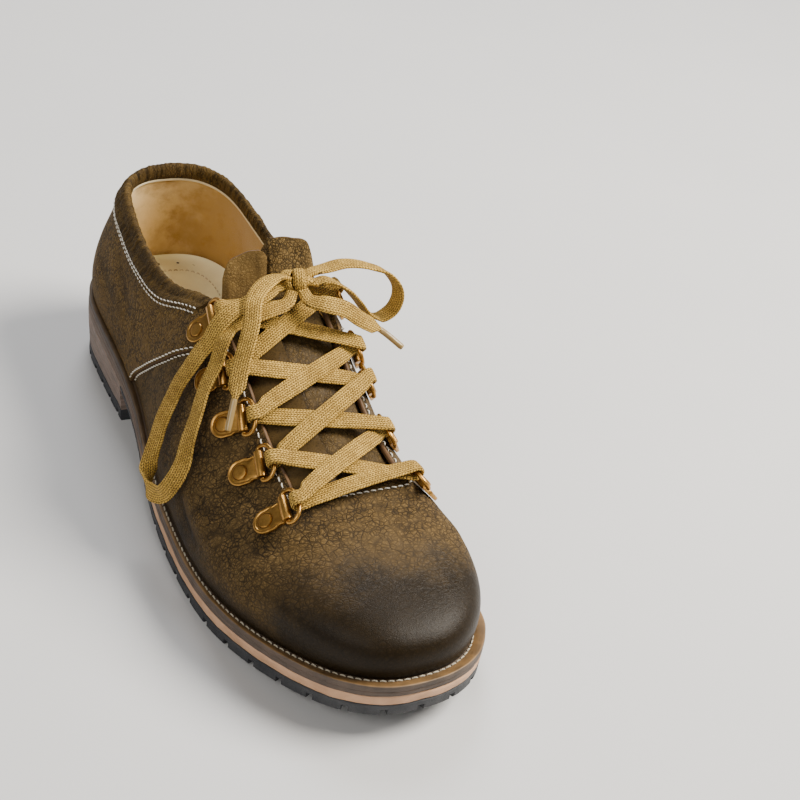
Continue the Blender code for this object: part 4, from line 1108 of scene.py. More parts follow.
@dataclass(frozen=True)
class Relief:
    """Uneven face of leather after long wear: soft lumps and creases set one by one."""

    lump: float = 17.0
    lump_height: float = 0.35
    ripple: float = 6.0
    ripple_height: float = 0.12
    ridge: float = 0.4

    def read(self, points: Array) -> tuple[Array, Array]:
        """Lift of the leather at places on the wall, and how deep in one of the creases each lies, which the
        finishes paint as shade.

        Args:
            points: places on the smooth wall.

        Returns:
            Lifts in millimetres and painted shade for the creases, from 0 to 1.
        """
        lift = self.lump_height * lattice_noise(points, self.lump, 3)
        lift += self.ripple_height * lattice_noise(points, self.ripple, 5)
        deep = np.zeros(points.shape[:-1])
        for crease, side in ((crease, side) for crease in CREASES for side in crease.sides):
            along, share = np.array(crease.path).T
            places = smooth_path(LAST.skin(LAST.turn_at(along, side.value), share), 1.5)
            gaps = np.linalg.norm(points[..., None, :] - places, axis=-1)
            nearest = gaps.argmin(axis=-1)
            near = gaps.min(axis=-1) / crease.width
            part = np.linspace(0, 1, len(places))[nearest]
            fade = np.sin(np.pi * np.clip(part, 0.04, 0.96)) ** 0.7
            ridge = self.ridge * np.exp(-((near - 2.1) ** 2))
            lift += crease.depth * (ridge - np.exp(-(near**2))) * fade
            # Painted shade along the middle of each of the creases
            deep = np.maximum(deep, np.exp(-((near / 0.45) ** 2)) * fade * min(1, crease.depth))
        return lift, deep


def burnish_and_shade_at(points: Array, share: Array) -> Array:
    """How dark the leather is: rubbed at the toe, along the welt and a little round the heel, with painted
    shade on the toe's front and the lower forefoot.
    """
    y = points[..., 1]
    wander = 9 * lattice_noise(points, 24.0, 11)
    # Rubbed dark toe, whose front also carries painted shade
    toe = ease(-84, -132, y + wander)
    # Rubbed dark foot along the welt, reaching up as painted shade on the lower forefoot
    foot = (1 - np.clip(share / 0.42, 0, 1)) ** 1.6 * ease(40, -50, y)
    heel = 0.3 * (1 - np.clip(share / 0.45, 0, 1)) * ease(70, 120, y)
    return np.clip(np.maximum(np.maximum(toe, foot), heel), 0, 1)


@dataclass
class Upper:
    """Vamp and quarters: hollow wall with lining, raw throat edge and its row of stitches."""

    columns: int = 620
    rows: int = 92
    inner_rows: int = 26
    roll: tuple[float, ...] = (25.0, 60.0, 90.0, 120.0, 155.0)
    edge_rise: float = 0.7
    seam_inset: float = 2.6
    seam_end: float = 0.475
    relief: Relief = Relief()
    thread: Thread = Thread(slant=0.2)

    def wall(self) -> Piece:
        """The leather wall with its lining."""
        turn = LAST.even_turns(0, 1, self.columns + 1)[:-1]
        share = np.linspace(0, 1, self.rows)
        smooth, normal = LAST.skin(turn[:, None], share[None]), LAST.normal(turn[:, None], share[None])
        lift, deep = self.relief.read(smooth)
        lift *= np.clip((1 - share) / 0.08, 0.15, 1) * np.clip(share / 0.06, 0, 1)
        lift *= 1 - 0.7 * ease(-90, -120, smooth[..., 1])
        outer = smooth + normal * lift[..., None]
        out, up = normal[:, -1:], LAST.upward(turn[:, None], 1.0)
        angle = np.radians(self.roll)[None, :, None]
        centre = outer[:, -1:] - out * LAST.wall / 2
        rim = centre + out * np.cos(angle) * LAST.wall / 2 + up * np.sin(angle) * self.edge_rise
        inner = LAST.lifted(turn[:, None], np.linspace(1, 0, self.inner_rows)[None], -LAST.wall)
        points = np.concatenate([outer, rim, inner], axis=1)
        count = points.shape[1]
        faces = grid_faces(len(turn), count, True, True)
        place = np.arange(len(faces)) % count
        slot = np.select([place < self.rows - 1, place < self.rows + len(self.roll)], [0, 1], 2)
        # Rubbed darkening with painted shade at the toe and foot, and painted shade in the creases
        burnish, crease = np.zeros((2, len(turn), count))
        burnish[:, : self.rows] = burnish_and_shade_at(smooth, share[None])
        crease[:, : self.rows] = deep
        patch = Patch()
        uv = unrolled(LAST.girth(turn)[:, None], run_length(points, 1))
        patch.add(points, faces, slot, uv, burnish=burnish, crease=crease)
        return patch.piece("upper_leather", (UPPER_LEATHER, RAW_EDGE, LINING), "upper_leather", "upper")

    def throat_seam(self) -> Piece:
        """Row of stitches beside the throat's edge."""
        first = LAST.turn_at(self.seam_end)
        turn = LAST.even_turns(first, 1 - first, 400)
        share = LAST.share_below(turn, self.seam_inset)
        row = (LAST.lifted(turn, share, 0.12), LAST.normal(turn, share))
        return self.thread.sew("throat_stitches", CREAM_THREAD, [row])

    def build(self) -> list[Piece]:
        """Wall and stitches."""
        return [self.wall(), self.throat_seam()]


# Front edge of the rear quarter: share of the wall and place along the shoe
QUARTER_SEAM: Table = (
    (0.00, 0.318), (0.14, 0.334), (0.40, 0.388), (0.60, 0.446), (0.74, 0.484), (0.88, 0.512), (1.00, 0.530),
)
# Collar band: place along the shoe and how far it reaches down outside
BAND_DROP: Table = ((0.00, 5.6), (0.20, 6.0), (0.30, 5.4), (0.40, 4.4), (0.47, 3.6))


@dataclass
class RearQuarter:
    """Leather wrapped round the heel, with a raw front edge between two rows of stitches."""

    steps: int = 300
    rows: int = 54
    lift: float = 2.0
    foot: float = 0.012
    under_band: float = 2.0
    seam_gap: float = 0.9
    relief: Relief = Relief()
    thread: Thread = Thread(slant=0.16)

    def place(self, sweep_at: Array, seam: Array) -> tuple[Array, Array]:
        """Turns and shares of a grid that runs from one seam to the other and from welt to collar."""
        w, s = np.meshgrid(sweep_at, seam, indexing="ij")
        rows = s.copy()
        for _ in range(3):
            seams = LAST.turn_at(through(QUARTER_SEAM, rows.ravel())[:, 0]).reshape(w.shape)
            turn = np.sign(w) * seams * np.abs(w)
            middle = turn[:, -1]
            drop = through(BAND_DROP, LAST.place_at(middle)[0])[:, 0] - self.under_band
            top = LAST.share_below(middle, drop)
            rows = self.foot + (top[:, None] - self.foot) * seam[None]
        return turn, rows

    def sheet(self) -> Piece:
        """The leather with its cut edge."""
        sweep_at = np.linspace(-1, 1, self.steps)
        turn, share = self.place(np.sign(sweep_at) * np.abs(sweep_at) ** 0.9, np.linspace(0, 1, self.rows))
        smooth, normal = LAST.skin(turn, share), LAST.normal(turn, share)
        lift, deep = self.relief.read(smooth)
        run = run_length(smooth, 0)
        border = np.minimum(run, run[-1:] - run)
        drop = np.clip(1 - border / 1.3, 0, 1) ** 2 * 0.55
        outer = smooth + normal * (self.lift + lift * np.clip(border / 6, 0.1, 1) - drop)[..., None]
        inner = smooth + normal * 0.02
        grid = np.concatenate([outer, inner[:, ::-1]], axis=1)
        # Rubbed darkening with painted shade at the toe and foot, and painted shade in the creases
        burnish, crease = np.zeros((2, *grid.shape[:2]))
        burnish[:, : self.rows] = burnish_and_shade_at(smooth, share)
        crease[:, : self.rows] = deep
        patch = Patch()
        faces = grid_faces(*grid.shape[:2], ring_columns=True)
        uv = unrolled(LAST.girth(turn[:, 0])[:, None] + 700, run_length(grid, 1))
        patch.add(grid, faces, 0, uv, burnish=burnish, crease=crease)
        patch.close_ends(self.steps, self.rows, (1, 1))
        finishes = (QUARTER_LEATHER, RAW_EDGE)
        return patch.piece("rear_quarter_leather", finishes, "upper_leather", "rear_quarter")

    def seams(self) -> Piece:
        """Stitches on both sides of the front edge."""
        rows = []
        for side in Side:
            turn, share = self.place(np.array([float(side.value)]), np.linspace(0, 1, 200))
            edge, normal = LAST.skin(turn[0], share[0]), LAST.normal(turn[0], share[0])
            across = np.cross(unit(np.gradient(edge, axis=0)), normal)
            toe = -across * np.sign(across[:, 1:2])
            for gap, lift in ((self.seam_gap, 0.1), (-self.seam_gap, self.lift + 0.05)):
                rows.append(((edge + toe * gap + normal * lift)[6:-12], normal[6:-12]))
        return self.thread.sew("quarter_stitches", CREAM_THREAD, rows)

    def build(self) -> list[Piece]:
        """Leather and stitches."""
        return [self.sheet(), self.seams()]


@dataclass
class CollarBand:
    """Padded band folded over the collar, cracked across, with stitches above and below its raw edge."""

    steps: int = 560
    front: float = 0.445
    inside: float = 3.2
    crest: float = 4.8
    face: float = 2.9
    inner_face: float = 1.4
    outer_rows: int = 16
    arch_rows: int = 13
    inner_rows: int = 6
    fold_size: float = 1.5
    fold_height: float = 0.36
    fold_draw: float = 0.22
    fold_fade: float = 3.0
    swell_size: float = 14.0
    swell_height: float = 0.4
    crease_gain: float = 1.9
    crease_most: float = 0.75
    seam_gap: float = 1.1
    thread: Thread = Thread(slant=0.16)

    def ends(self) -> Array:
        """Turns from the band's one front end round the heel to the other."""
        front = LAST.turn_at(self.front)
        return LAST.even_turns(-front, front, self.steps)

    def drop(self, turn: Array) -> Array:
        """How far the band reaches down outside."""
        return through(BAND_DROP, LAST.place_at(turn)[0])[:, 0]

    def roll(self) -> Piece:
        """The padded band."""
        turn = self.ends()
        low = LAST.share_below(turn, self.drop(turn))
        part = np.linspace(0, 1, self.outer_rows)
        share = low[:, None] + (1 - low[:, None]) * part[None]
        puff = self.face * (0.82 + 0.18 * np.sin(np.pi * np.clip(part * 1.1, 0, 1)))
        puff = puff - 0.75 * np.clip(1 - part / 0.12, 0, 1) ** 2 - 0.9 * part**3
        outer = LAST.lifted(turn[:, None], share, puff)
        edge, out, up = LAST.skin(turn, 1.0), LAST.normal(turn, 1.0), LAST.upward(turn, 1.0)
        start, stop = puff[-1] + LAST.wall / 2, self.inner_face + LAST.wall / 2
        angle = np.linspace(0, np.pi, self.arch_rows)[1:-1]
        wide = start + (stop - start) * angle / np.pi
        arch = (
            (edge - out * LAST.wall / 2)[:, None]
            + out[:, None] * (np.cos(angle) * wide)[None, :, None]
            + up[:, None] * (np.sin(angle) * self.crest)[None, :, None]
        )
        deep = LAST.share_below(turn, self.inside)
        inner_part = np.linspace(0, 1, self.inner_rows)
        inner_share = 1 + (deep[:, None] - 1) * inner_part[None]
        inner_lift = -LAST.wall - self.inner_face * (1 - 0.75 * inner_part**2)
        inner = LAST.lifted(turn[:, None], inner_share, inner_lift)
        face = np.concatenate([outer, arch, inner], axis=1)
        square = unit(np.cross(np.gradient(face, axis=0), np.gradient(face, axis=1)))
        square *= np.sign(np.sum(square * out[:, None], axis=2).mean(axis=1))[:, None, None]
        facing = np.sum(square * (face - edge[:, None] + out[:, None]), axis=2).mean()
        square = square if facing > 0 else -square
        run = LAST.girth(turn)
        across = run_length(face, 1)
        drawn = np.stack(np.broadcast_arrays(run[:, None], across * self.fold_draw, 0.0), axis=-1)
        fold = lattice_noise(drawn, self.fold_size, 21) * self.fold_height
        fold = fold + lattice_noise(face, self.swell_size, 8) * self.swell_height
        left = across[:, -1:] - across
        fade = np.clip(across / self.fold_fade, 0, 1) * np.clip(left / self.fold_fade, 0, 1)
        face = face + square * (fold * fade)[..., None]
        back_low, back_in = LAST.lifted(turn, low, 0.3), LAST.lifted(turn, deep, 0.1 - LAST.wall)
        grid = np.concatenate([face, back_in[:, None], back_low[:, None]], axis=1)
        count, face_count = grid.shape[1], face.shape[1]
        faces = tube_faces(len(grid), count)
        slot = np.where(np.arange(len(faces)) % count > face_count, 1, 0)
        # Painted shade in the troughs of the folds
        crease = np.zeros(grid.shape[:2])
        crease[:, :face_count] = np.clip(-fold * self.crease_gain, 0, self.crease_most)
        patch = Patch()
        uv = unrolled(run[:, None] * 1.7 + 1500, run_length(grid, 1) * 0.6)
        patch.add(grid, faces, slot, uv, crease=crease)
        made = patch.piece("collar_roll", (BAND_LEATHER, RAW_EDGE), "band_leather", "collar_band")
        return made

    def lining_edge(self) -> Piece:
        """Pale cut edge of the lining below the band's inner side."""
        turn = self.ends()
        share = LAST.share_below(turn, self.inside + 0.5)
        path = LAST.lifted(turn, share, -LAST.wall - 0.35)
        patch = Patch()
        sweep(patch, path, tube_frame(path, LAST.normal(turn, share)), 0.75, 0.4, 8)
        return patch.piece("lining_edge", (LINING_EDGE,), "insole_leather")

    def seams(self) -> Piece:
        """Rows of stitches on the band and on the leather below it."""
        turn = self.ends()
        rows = []
        for gap, lift in ((-self.seam_gap, self.face * 0.95), (self.seam_gap, 2.1)):
            share = LAST.share_below(turn, self.drop(turn) + gap)
            rows.append((LAST.lifted(turn, share, lift), LAST.normal(turn, share)))
        return self.thread.sew("collar_stitches", CREAM_THREAD, rows)

    def build(self) -> list[Piece]:
        """Band, edge of the lining and stitches."""
        return [self.roll(), self.lining_edge(), self.seams()]


# Tongue under the throat: place along the shoe and how far its middle stands above the throat's edges
TONGUE_ROWS: Table = (
    (0.74, 4.0), (0.70, 4.2), (0.65, 4.6), (0.60, 5.0), (0.555, 5.4), (0.515, 5.8), (0.48, 6.2),
)
# Tops of its two lobes: place across, half width, height, and how far it leans back
LEFT_TOP: Table = (
    (-1.00, 18.5, 103.0, 11.0),
    (-0.85, 20.0, 109.0, 12.0),
    (-0.58, 20.5, 113.0, 12.0),
    (-0.28, 20.5, 115.5, 11.0),
    (-0.18, 20.5, 115.2, 10.5),
    (-0.13, 20.5, 113.0, 10.0),
)
RIGHT_TOP: Table = (
    (-0.28, 20.5, 102.0, 21.0),
    (-0.11, 20.5, 107.0, 20.0),
    (-0.01, 20.5, 115.2, 17.0),
    (0.20, 21.5, 117.6, 15.5),
    (0.55, 23.5, 117.3, 14.5),
    (0.84, 24.5, 113.5, 13.5),
    (1.00, 23.0, 104.0, 12.0),
)
# Rows of the free top: how far each has drawn in, leant back and risen
TONGUE_RISE: Table = ((0.72, 0.26, 0.13), (0.85, 0.52, 0.36), (0.94, 0.77, 0.67), (1.0, 1.0, 1.0))


@dataclass
class Tongue:
    """Soft sheet under the throat: a left flap laid over the right one, with a pleat between them."""

    thick: float = 2.0
    clear: float = 0.45
    front: float = 0.82
    front_clear: float = 0.63
    low_share: float = 0.86
    flat: float = 0.8
    across: int = 90
    rows: int = 120
    lumps: Table = ((11.0, 0.5), (5.0, 0.25))  # size and height
    still_rows: int = 12
    curl: float = 1.8
    free_from: float = 0.55

    def frame(self, places: Array, tops: Table) -> Array:
        """Rows of a flap's outer face at places across the tongue, from -1 to 1, up to its own top."""
        start = LAST.turn_at(self.front)
        turn = start + (1 - 2 * start) * (places + 1) / 2
        rows = [LAST.lifted(turn, share, -LAST.wall - self.front_clear) for share in (self.low_share, 1.0)]
        left = places[:, None] < 0
        inside = np.clip(places / self.flat, -1, 1)[:, None]
        tuck = np.clip((np.abs(places) - self.flat) / (1 - self.flat), 0, 1)[:, None]
        for along, crown in TONGUE_ROWS:
            turns = [LAST.turn_at(along, side.value) for side in Side]
            edges, low = (
                [LAST.lifted(turn, share, -LAST.wall - self.clear) for turn in turns]
                for share in (1.0, self.low_share)
            )
            line = (edges[0] + edges[1]) / 2 + inside * (edges[1] - edges[0]) / 2
            line[:, 2] += crown * (1 - inside[:, 0] ** 2)
            rows.append(line + tuck * (np.where(left, *low) - np.where(left, *edges)))
        last = rows[-1]
        half, top, lean = through(tops, places).T
        goal = 0.5 * (edges[0][0] + edges[1][0]) + places * half
        for inward, back, up in TONGUE_RISE:
            move = [inward * (goal - last[:, 0]), back * lean, up * (top - last[:, 2])]
            rows.append(last + np.column_stack(move))
        return np.array(rows)

    def flap(self, patch: Patch, tops: Table, lift: float, slot: int, seed: int) -> None:
        """Adds one flap.

        Args:
            patch: where it goes.
            tops: its top, from one edge to the other.
            lift: how far its inner edge is raised, or pressed down.
            slot: its finish.
            seed: of its unevenness.
        """
        first, last = tops[0][0], tops[-1][0]
        places = np.linspace(first, last, self.across)
        rows = self.frame(places, tops)
        table = np.column_stack([np.arange(len(rows)), rows.reshape(len(rows), -1)])
        face = through(table, np.linspace(0, len(rows) - 1, self.rows)).reshape(self.rows, self.across, 3)
        square = unit(np.cross(np.gradient(face, axis=0), np.gradient(face, axis=1)))
        square *= np.sign(square[..., 2:])
        inner = 1 - np.clip(np.abs(places - (last if first < -0.5 else first)) / 0.5, 0, 1)
        height = np.linspace(0, 1, self.rows)[:, None]
        bulge = lift * (0.35 + inner)
        for number, (size, high) in enumerate(self.lumps):
            bulge = bulge + high * lattice_noise(face, size, seed + number)
        bulge = bulge * np.clip(np.arange(self.rows) / self.still_rows, 0.1, 1)[:, None]
        bulge = bulge + self.curl * ease(self.free_from, 1.0, height) * inner**2 * lift
        face = face + square * bulge[..., None]
        grid = np.concatenate([face, (face - square * self.thick * 0.8)[:, ::-1]], axis=1)
        count = grid.shape[1]
        faces = grid_faces(self.rows, count, ring_columns=True)
        slots = np.where(np.arange(len(faces)) % count < self.across - 1, slot, 2)
        uv = unrolled(run_length(grid, 1) + 2500 + 300 * seed, run_length(grid, 0))
        # Painted shade: a dark band on the right flap where the left flap's edge lies over it, a faint one by
        # the left flap's inner edge, and both flaps darkened low down inside the throat
        soft, shade = np.zeros((2, *grid.shape[:2]))
        over = lift > 0
        soft[:, : self.across] = 0.1 * inner if over else np.clip(1.6 - np.abs(places - first) / 0.18, 0, 1)
        shade[:, : self.across] = (0.86 if over else 0.5) * (1 - ease(self.free_from, 0.8, height))
        patch.add(grid, faces, slots, uv, crease=soft, burnish=shade)
        patch.close_ends(self.rows, self.across, (slot, 3))

    def build(self) -> list[Piece]:
        """Both flaps in one piece, the left one lying over the right one."""
        patch = Patch()
        self.flap(patch, LEFT_TOP, 1.0, 1, 31)
        self.flap(patch, RIGHT_TOP, -1.6, 0, 37)
        finishes = (TONGUE_LEATHER, TONGUE_SUEDE, LINING, RAW_EDGE)
        return [patch.piece("tongue_flaps", finishes, "tongue_leather", "tongue")]


# Sole


@dataclass(frozen=True)
class SoleBuild:
    """Layers of the sole and heel."""

    welt: float = 2.8
    midsole: float = 2.4
    tan: float = 4.0
    rubber: float = 5.2
    waist_rubber: float = 2.2
    insole: float = 3.2
    waist_end: Pair = (0.44, 0.58)
    welt_inside: float = 3.2
    heel_breast: float = 0.285
    breast_gap: float = 0.002
    lifts: int = 5
    top_piece: float = 6.0
    heel_taper: float = 1.6
    lug_start: float = 0.50
    lap: float = 0.25
    lug_pitch: float = 15.0
    heel_lug_pitch: float = 12.0
    notch_width: float = 2.6
    notch_height: float = 2.8
    notch_depth: float = 9.0

    def depth(self, layer: int) -> float:
        """Depth of a layer's top below the welt's upper face, 0 being the welt."""
        return sum((self.welt, self.midsole, self.tan)[:layer]) + LAST.gap * layer

    def rubber_thickness(self, y: Array) -> Array:
        """Thickness of the outsole at a place y."""
        along = (LAST.heel_end - y) / LAST.length
        return self.waist_rubber + (self.rubber - self.waist_rubber) * ease(*self.waist_end, along)


SOLE = SoleBuild()


@dataclass
class SoleEdges:
    """Welt, midsoles, outsole and heel."""

    half_columns: int = 330
    edge_rows: int = 7
    sewn_from: float = 0.5
    groove: float = 0.95
    core_inset: float = 9.2
    layer_lap: float = 0.27
    rim_round: Pair = (0.35, 0.15)  # millimetres, share of the edge
    rim_pale: float = 0.08
    waves: Table = ((8.0, 0.22), (2.5, 0.1))  # size and height
    darkened_to: Pair = (0.38, 0.52)
    stained_to: Pair = (0.4, 0.54)
    tread_depth: float = 13.0
    notch_slope: float = 0.18
    welt_thread: Thread = Thread(pitch=3.1, share=0.72, radius=0.31, rise=0.2, slant=0.1)

    def columns(self, back: float = 0.0, front: float = 1.0) -> Array:
        """Turns down the lateral side, whose mirror gives those of the medial side."""
        count = max(24, round(self.half_columns * (front - back)))
        return LAST.even_turns(LAST.turn_at(back), LAST.turn_at(front), count)

    def plans(self, turn: Array, inset: float = 0.0) -> Array:
        """Places y of the sole's edge at these turns, on the lateral and on the medial side."""
        return np.stack([LAST.sole_outline(t, inset)[:, 1] for t in (turn, 1 - turn)])

    def slab(
        self,
        patch: Patch,
        turn: Array,
        top: Array,
        bottom: Array,
        insets: Pair,
        seed: int,
        rim: float = 1.0,
        clean: Pair | None = None,
    ) -> None:
        """Adds a layer with a slightly uneven edge.

        Args:
            patch: where it goes.
            turn: turns of the lateral side from back to front.
            top: heights of its upper face at these turns, on both sides.
            bottom: heights of its lower face.
            insets: how far the upper and the lower rim stand in from the sole's edge.
            seed: of the unevenness.
            rim: how pale its two rims are.
            clean: between these places along the shoe the stain of the edge fades out.
        """
        part = np.linspace(0, 1, self.edge_rows)
        rounded, reach = self.rim_round
        soft = rounded * np.clip(1 - np.minimum(part, 1 - part) / reach, 0, 1) ** 2
        sides = []
        for t, high, low in zip((turn, 1 - turn), top, bottom):
            rows = []
            flat = np.column_stack([LAST.sole_outline(t), np.full(len(t), seed * 40.0)])
            for p, s in zip(part, soft):
                wave = 0.0
                for (size, swing), step, draw in zip(self.waves, (6, 9), (41, 43)):
                    wave = wave + swing * lattice_noise(flat + (0, 0, p * step), size, draw)
                plan = LAST.sole_outline(t, insets[0] + (insets[1] - insets[0]) * p + s - wave)
                rows.append(np.column_stack([plan, high + (low - high) * p]))
            sides.append(np.stack(rows, axis=1))
        points = np.concatenate([sides[0], sides[1][:, ::-1]], axis=1)
        edge = np.maximum(np.exp(-part / self.rim_pale), 0.5 * np.exp(-(1 - part) / self.rim_pale))
        tone = np.broadcast_to(np.concatenate([edge, edge[::-1]]) * rim, points.shape[:2])
        across = np.concatenate([part * 4, part[::-1] * 4 + 60]) + seed * 7
        soil = 1 - ease(*clean, (LAST.heel_end - points[..., 1]) / LAST.length) if clean else 0.0
        uv = unrolled(run_length(points[:, 0], 0)[:, None], across)
        patch.add(points, tube_faces(*points.shape[:2]), 0, uv, rim=tone, soil=soil)

    def welt(self) -> list[Piece]:
        """Strip round the shoe with a groove for its stitches and a rounded outer rim, and the stitches."""
        turn = LAST.even_turns(0, 1, 2 * self.half_columns + 1)[:-1]
        inside, low = SOLE.welt_inside, -SOLE.welt
        rows = ((-inside, low), (-inside, 0.0), (-0.4, 0.0), (0.25, -0.25), (0.7, -0.5), (1.25, -0.1))
        rims = ((0.9, 0.05), (0.45, 0.0), (0.16, -0.16), (0.0, -0.5), (0.05, -1.4), (0.0, -2.3), (0.2, low))
        plans = [LAST.feather_line(turn) + LAST.outward(turn) * reach for reach, _ in rows]
        for inset, z in rims:
            flat = np.column_stack([LAST.sole_outline(turn), np.full(len(turn), z * 3)])
            size, swing = self.waves[0]
            wave = swing * lattice_noise(flat, size, 47) * (inset < 0.3)
            plans.append(LAST.sole_outline(turn, inset - wave))
        heights = [z for _, z in rows + rims]
        sections = [np.column_stack([p, LAST.sole_height(p[:, 1]) + z]) for p, z in zip(plans, heights)]
        points = np.stack(sections, axis=1)
        count = points.shape[1]
        faces = grid_faces(len(points), count, True, True)
        place = np.arange(len(faces)) % count
        slot = np.where((place >= len(rows) + 2) & (place < count - 1), 1, 0)
        # Darker on the welt's top face beside the upper and in the stitch groove, and towards the heel
        soil = np.zeros(points.shape[:2])
        soil[:, 2:5] = 0.9
        soil = np.maximum(soil, 0.75 * (1 - ease(*self.darkened_to, LAST.place_at(turn)[0]))[:, None])
        rim = [0.0] * len(rows) + [0.7 if -0.3 < z < 0.01 else 0.0 for _, z in rims]
        uv = unrolled(run_length(points[:, -1], 0)[:, None], run_length(points, 1))
        patch = Patch()
        patch.add(points, faces, slot, uv, rim=np.broadcast_to(rim, points.shape[:2]), soil=soil)
        made = patch.piece("welt_strip", (WELT_LEATHER, MIDSOLE_EDGE), "welt_leather", "welt", sharp=60)
        first = LAST.turn_at(self.sewn_from)
        turn = LAST.even_turns(first, 1 - first, 700)
        plan = LAST.feather_line(turn) + LAST.outward(turn) * self.groove
        line = np.column_stack([plan, LAST.sole_height(plan[:, 1]) + 0.02])
        return [made, self.welt_thread.sew("welt_stitches", WELT_THREAD, [(line, UP)])]

    def midsoles(self) -> list[Piece]:
        """The brown and the tan layer."""
        made = []
        turn = self.columns()
        for layer, node, finish, slot, thick, clean in (
            (1, "midsole", MIDSOLE_EDGE, "midsole_leather", SOLE.midsole, None),
            (2, "tan_midsole", TAN_EDGE, "tan_leather", SOLE.tan, self.stained_to),
        ):
            low = LAST.sole_height(self.plans(turn)) - SOLE.depth(layer) - thick
            patch = Patch()
            self.slab(patch, turn, low + thick + self.layer_lap, low, (0.05, 0.1), layer, 0.35, clean)
            made.append(patch.piece(node + "_layer", (finish,), slot, node))
        return made

    def notches(self, ends: Pair, pitch: float) -> Array:
        """Turns at the middles of the notches, at an even pitch between two turns."""
        turn = np.linspace(*ends, 800)
        run = run_length(LAST.sole_outline(turn), 0)
        count = int(run[-1] // pitch)
        return np.interp((run[-1] - count * pitch) / 2 + pitch * np.arange(count + 1), run, turn)

    def tread(
        self,
        patch: Patch,
        ends: Pair,
        pitch: float,
        inset: float,
        top_of: Level,
        floor_of: Level,
    ) -> None:
        """Adds a rubber rim with notches cut into its lower edge, between two turns.

        Args:
            patch: where it goes.
            ends: turns of its ends.
            pitch: distance between notches.
            inset: how far it stands in from the sole's edge.
            top_of: height of its upper face at places y.
            floor_of: height of its lower face at places y.
        """
        fine = np.linspace(*ends, 4000)
        run = run_length(LAST.sole_outline(fine), 0)
        middles = np.interp(self.notches(ends, pitch), fine, run)
        half, slope = SOLE.notch_width / 2, self.notch_slope
        cuts = np.concatenate([middles + d for d in (-half - slope, -half, 0.0, half, half + slope)])
        base = np.interp(LAST.even_turns(*ends, 520), fine, run)
        at = np.sort(np.concatenate([base, cuts[(cuts > 0) & (cuts < run[-1])]]))
        at = at[np.concatenate([[True], np.diff(at) > 0.02])]
        cut = np.abs(at[:, None] - middles[None]).min(axis=1) < half + slope / 2
        turn = np.interp(at, run, fine)
        deep, high = SOLE.notch_depth, SOLE.notch_height
        whole = ((0.0, high + 0.15), (0.0, high), (0.0, 0.7), (0.6, 0.0))
        notch = ((0.05, high + 0.15), (0.25, high), (0.5 * deep, high), (deep, high))
        shared = ((deep + 0.1, 0.0), (self.tread_depth, 0.0), (self.tread_depth, 1.0))
        sections = []
        for reach, below in ((self.tread_depth - 1, 0.0), (0.4, 0.0), (0.0, 0.4)):
            plan = LAST.sole_outline(turn, inset + reach)
            sections.append(np.column_stack([plan, top_of(plan[:, 1]) - below]))
        for (in_whole, z_whole), (in_notch, z_notch) in zip(whole + shared, notch + shared):
            plan = LAST.sole_outline(turn, inset + np.where(cut, in_notch, in_whole))
            z = floor_of(plan[:, 1]) + np.where(cut, z_notch, z_whole)
            sections.append(np.column_stack([plan, np.minimum(z, top_of(plan[:, 1]) - 0.5)]))
        points = np.stack(sections, axis=1)
        patch.add(points, tube_faces(*points.shape[:2]))

    def outsole(self) -> Piece:
        """Rubber sole: notched round the forefoot, thin in the waist."""

        def top_of(y: Array) -> Array:
            """Upper face."""
            return LAST.sole_height(y) - SOLE.depth(3) + SOLE.lap

        def floor_of(y: Array) -> Array:
            """Lower face."""
            return np.maximum(LAST.sole_height(y) - SOLE.depth(3) - SOLE.rubber_thickness(y), 0)

        patch = Patch()
        first = LAST.turn_at(SOLE.lug_start - 0.02)
        self.tread(patch, (first, 1 - first), SOLE.lug_pitch, 0.0, top_of, floor_of)
        turn = self.columns(SOLE.lug_start - 0.022, 1.0)
        y = self.plans(turn, self.core_inset)
        self.slab(patch, turn, top_of(y) - 0.05, floor_of(y) + 0.02, (self.core_inset,) * 2, 5)
        turn = self.columns(SOLE.heel_breast + SOLE.breast_gap, SOLE.lug_start - 0.019)
        y = self.plans(turn)
        self.slab(patch, turn, top_of(y), floor_of(y), (0.0, 0.3), 6)
        return patch.piece("rubber_outsole", (SOLE_RUBBER,), "rubber", "outsole", sharp=35)

    def heel(self) -> list[Piece]:
        """Stacked lifts and the rubber top piece."""

        def flat_top(y: Array) -> Array:
            """Upper face of the top piece."""
            return np.full(y.shape, SOLE.top_piece)

        made = []
        turn = self.columns(0.0, SOLE.heel_breast)
        stack = LAST.sole_height(self.plans(turn)) - SOLE.depth(3) + SOLE.lap - SOLE.top_piece
        for lift in range(SOLE.lifts):
            low, high = (SOLE.top_piece + stack * (lift + k) / SOLE.lifts for k in (0, 1))
            insets = tuple(SOLE.heel_taper * (1 - (lift + k) / SOLE.lifts) for k in (1, 0))
            patch = Patch()
            self.slab(patch, turn, high, low + 0.12, insets, 10 + lift)
            name, node = f"stacked_lift_{lift + 1}", f"heel_lift_{lift + 1}"
            made.append(patch.piece(name, (STACK_EDGE,), "stacked_leather", node))
        patch = Patch()
        end = LAST.turn_at(SOLE.heel_breast)
        self.tread(patch, (-end, end), SOLE.heel_lug_pitch, SOLE.heel_taper, flat_top, np.zeros_like)
        level = np.full((2, len(turn)), SOLE.top_piece)
        inset = self.core_inset + SOLE.heel_taper
        self.slab(patch, turn, level - 0.05, 0 * level + 0.02, (inset, inset), 20)
        return [*made, patch.piece("heel_rubber", (SOLE_RUBBER,), "rubber", "heel_top_piece", sharp=35)]

    def build(self) -> list[Piece]:
        """Welt, midsoles, outsole and heel."""
        return [*self.welt(), *self.midsoles(), self.outsole(), *self.heel()]


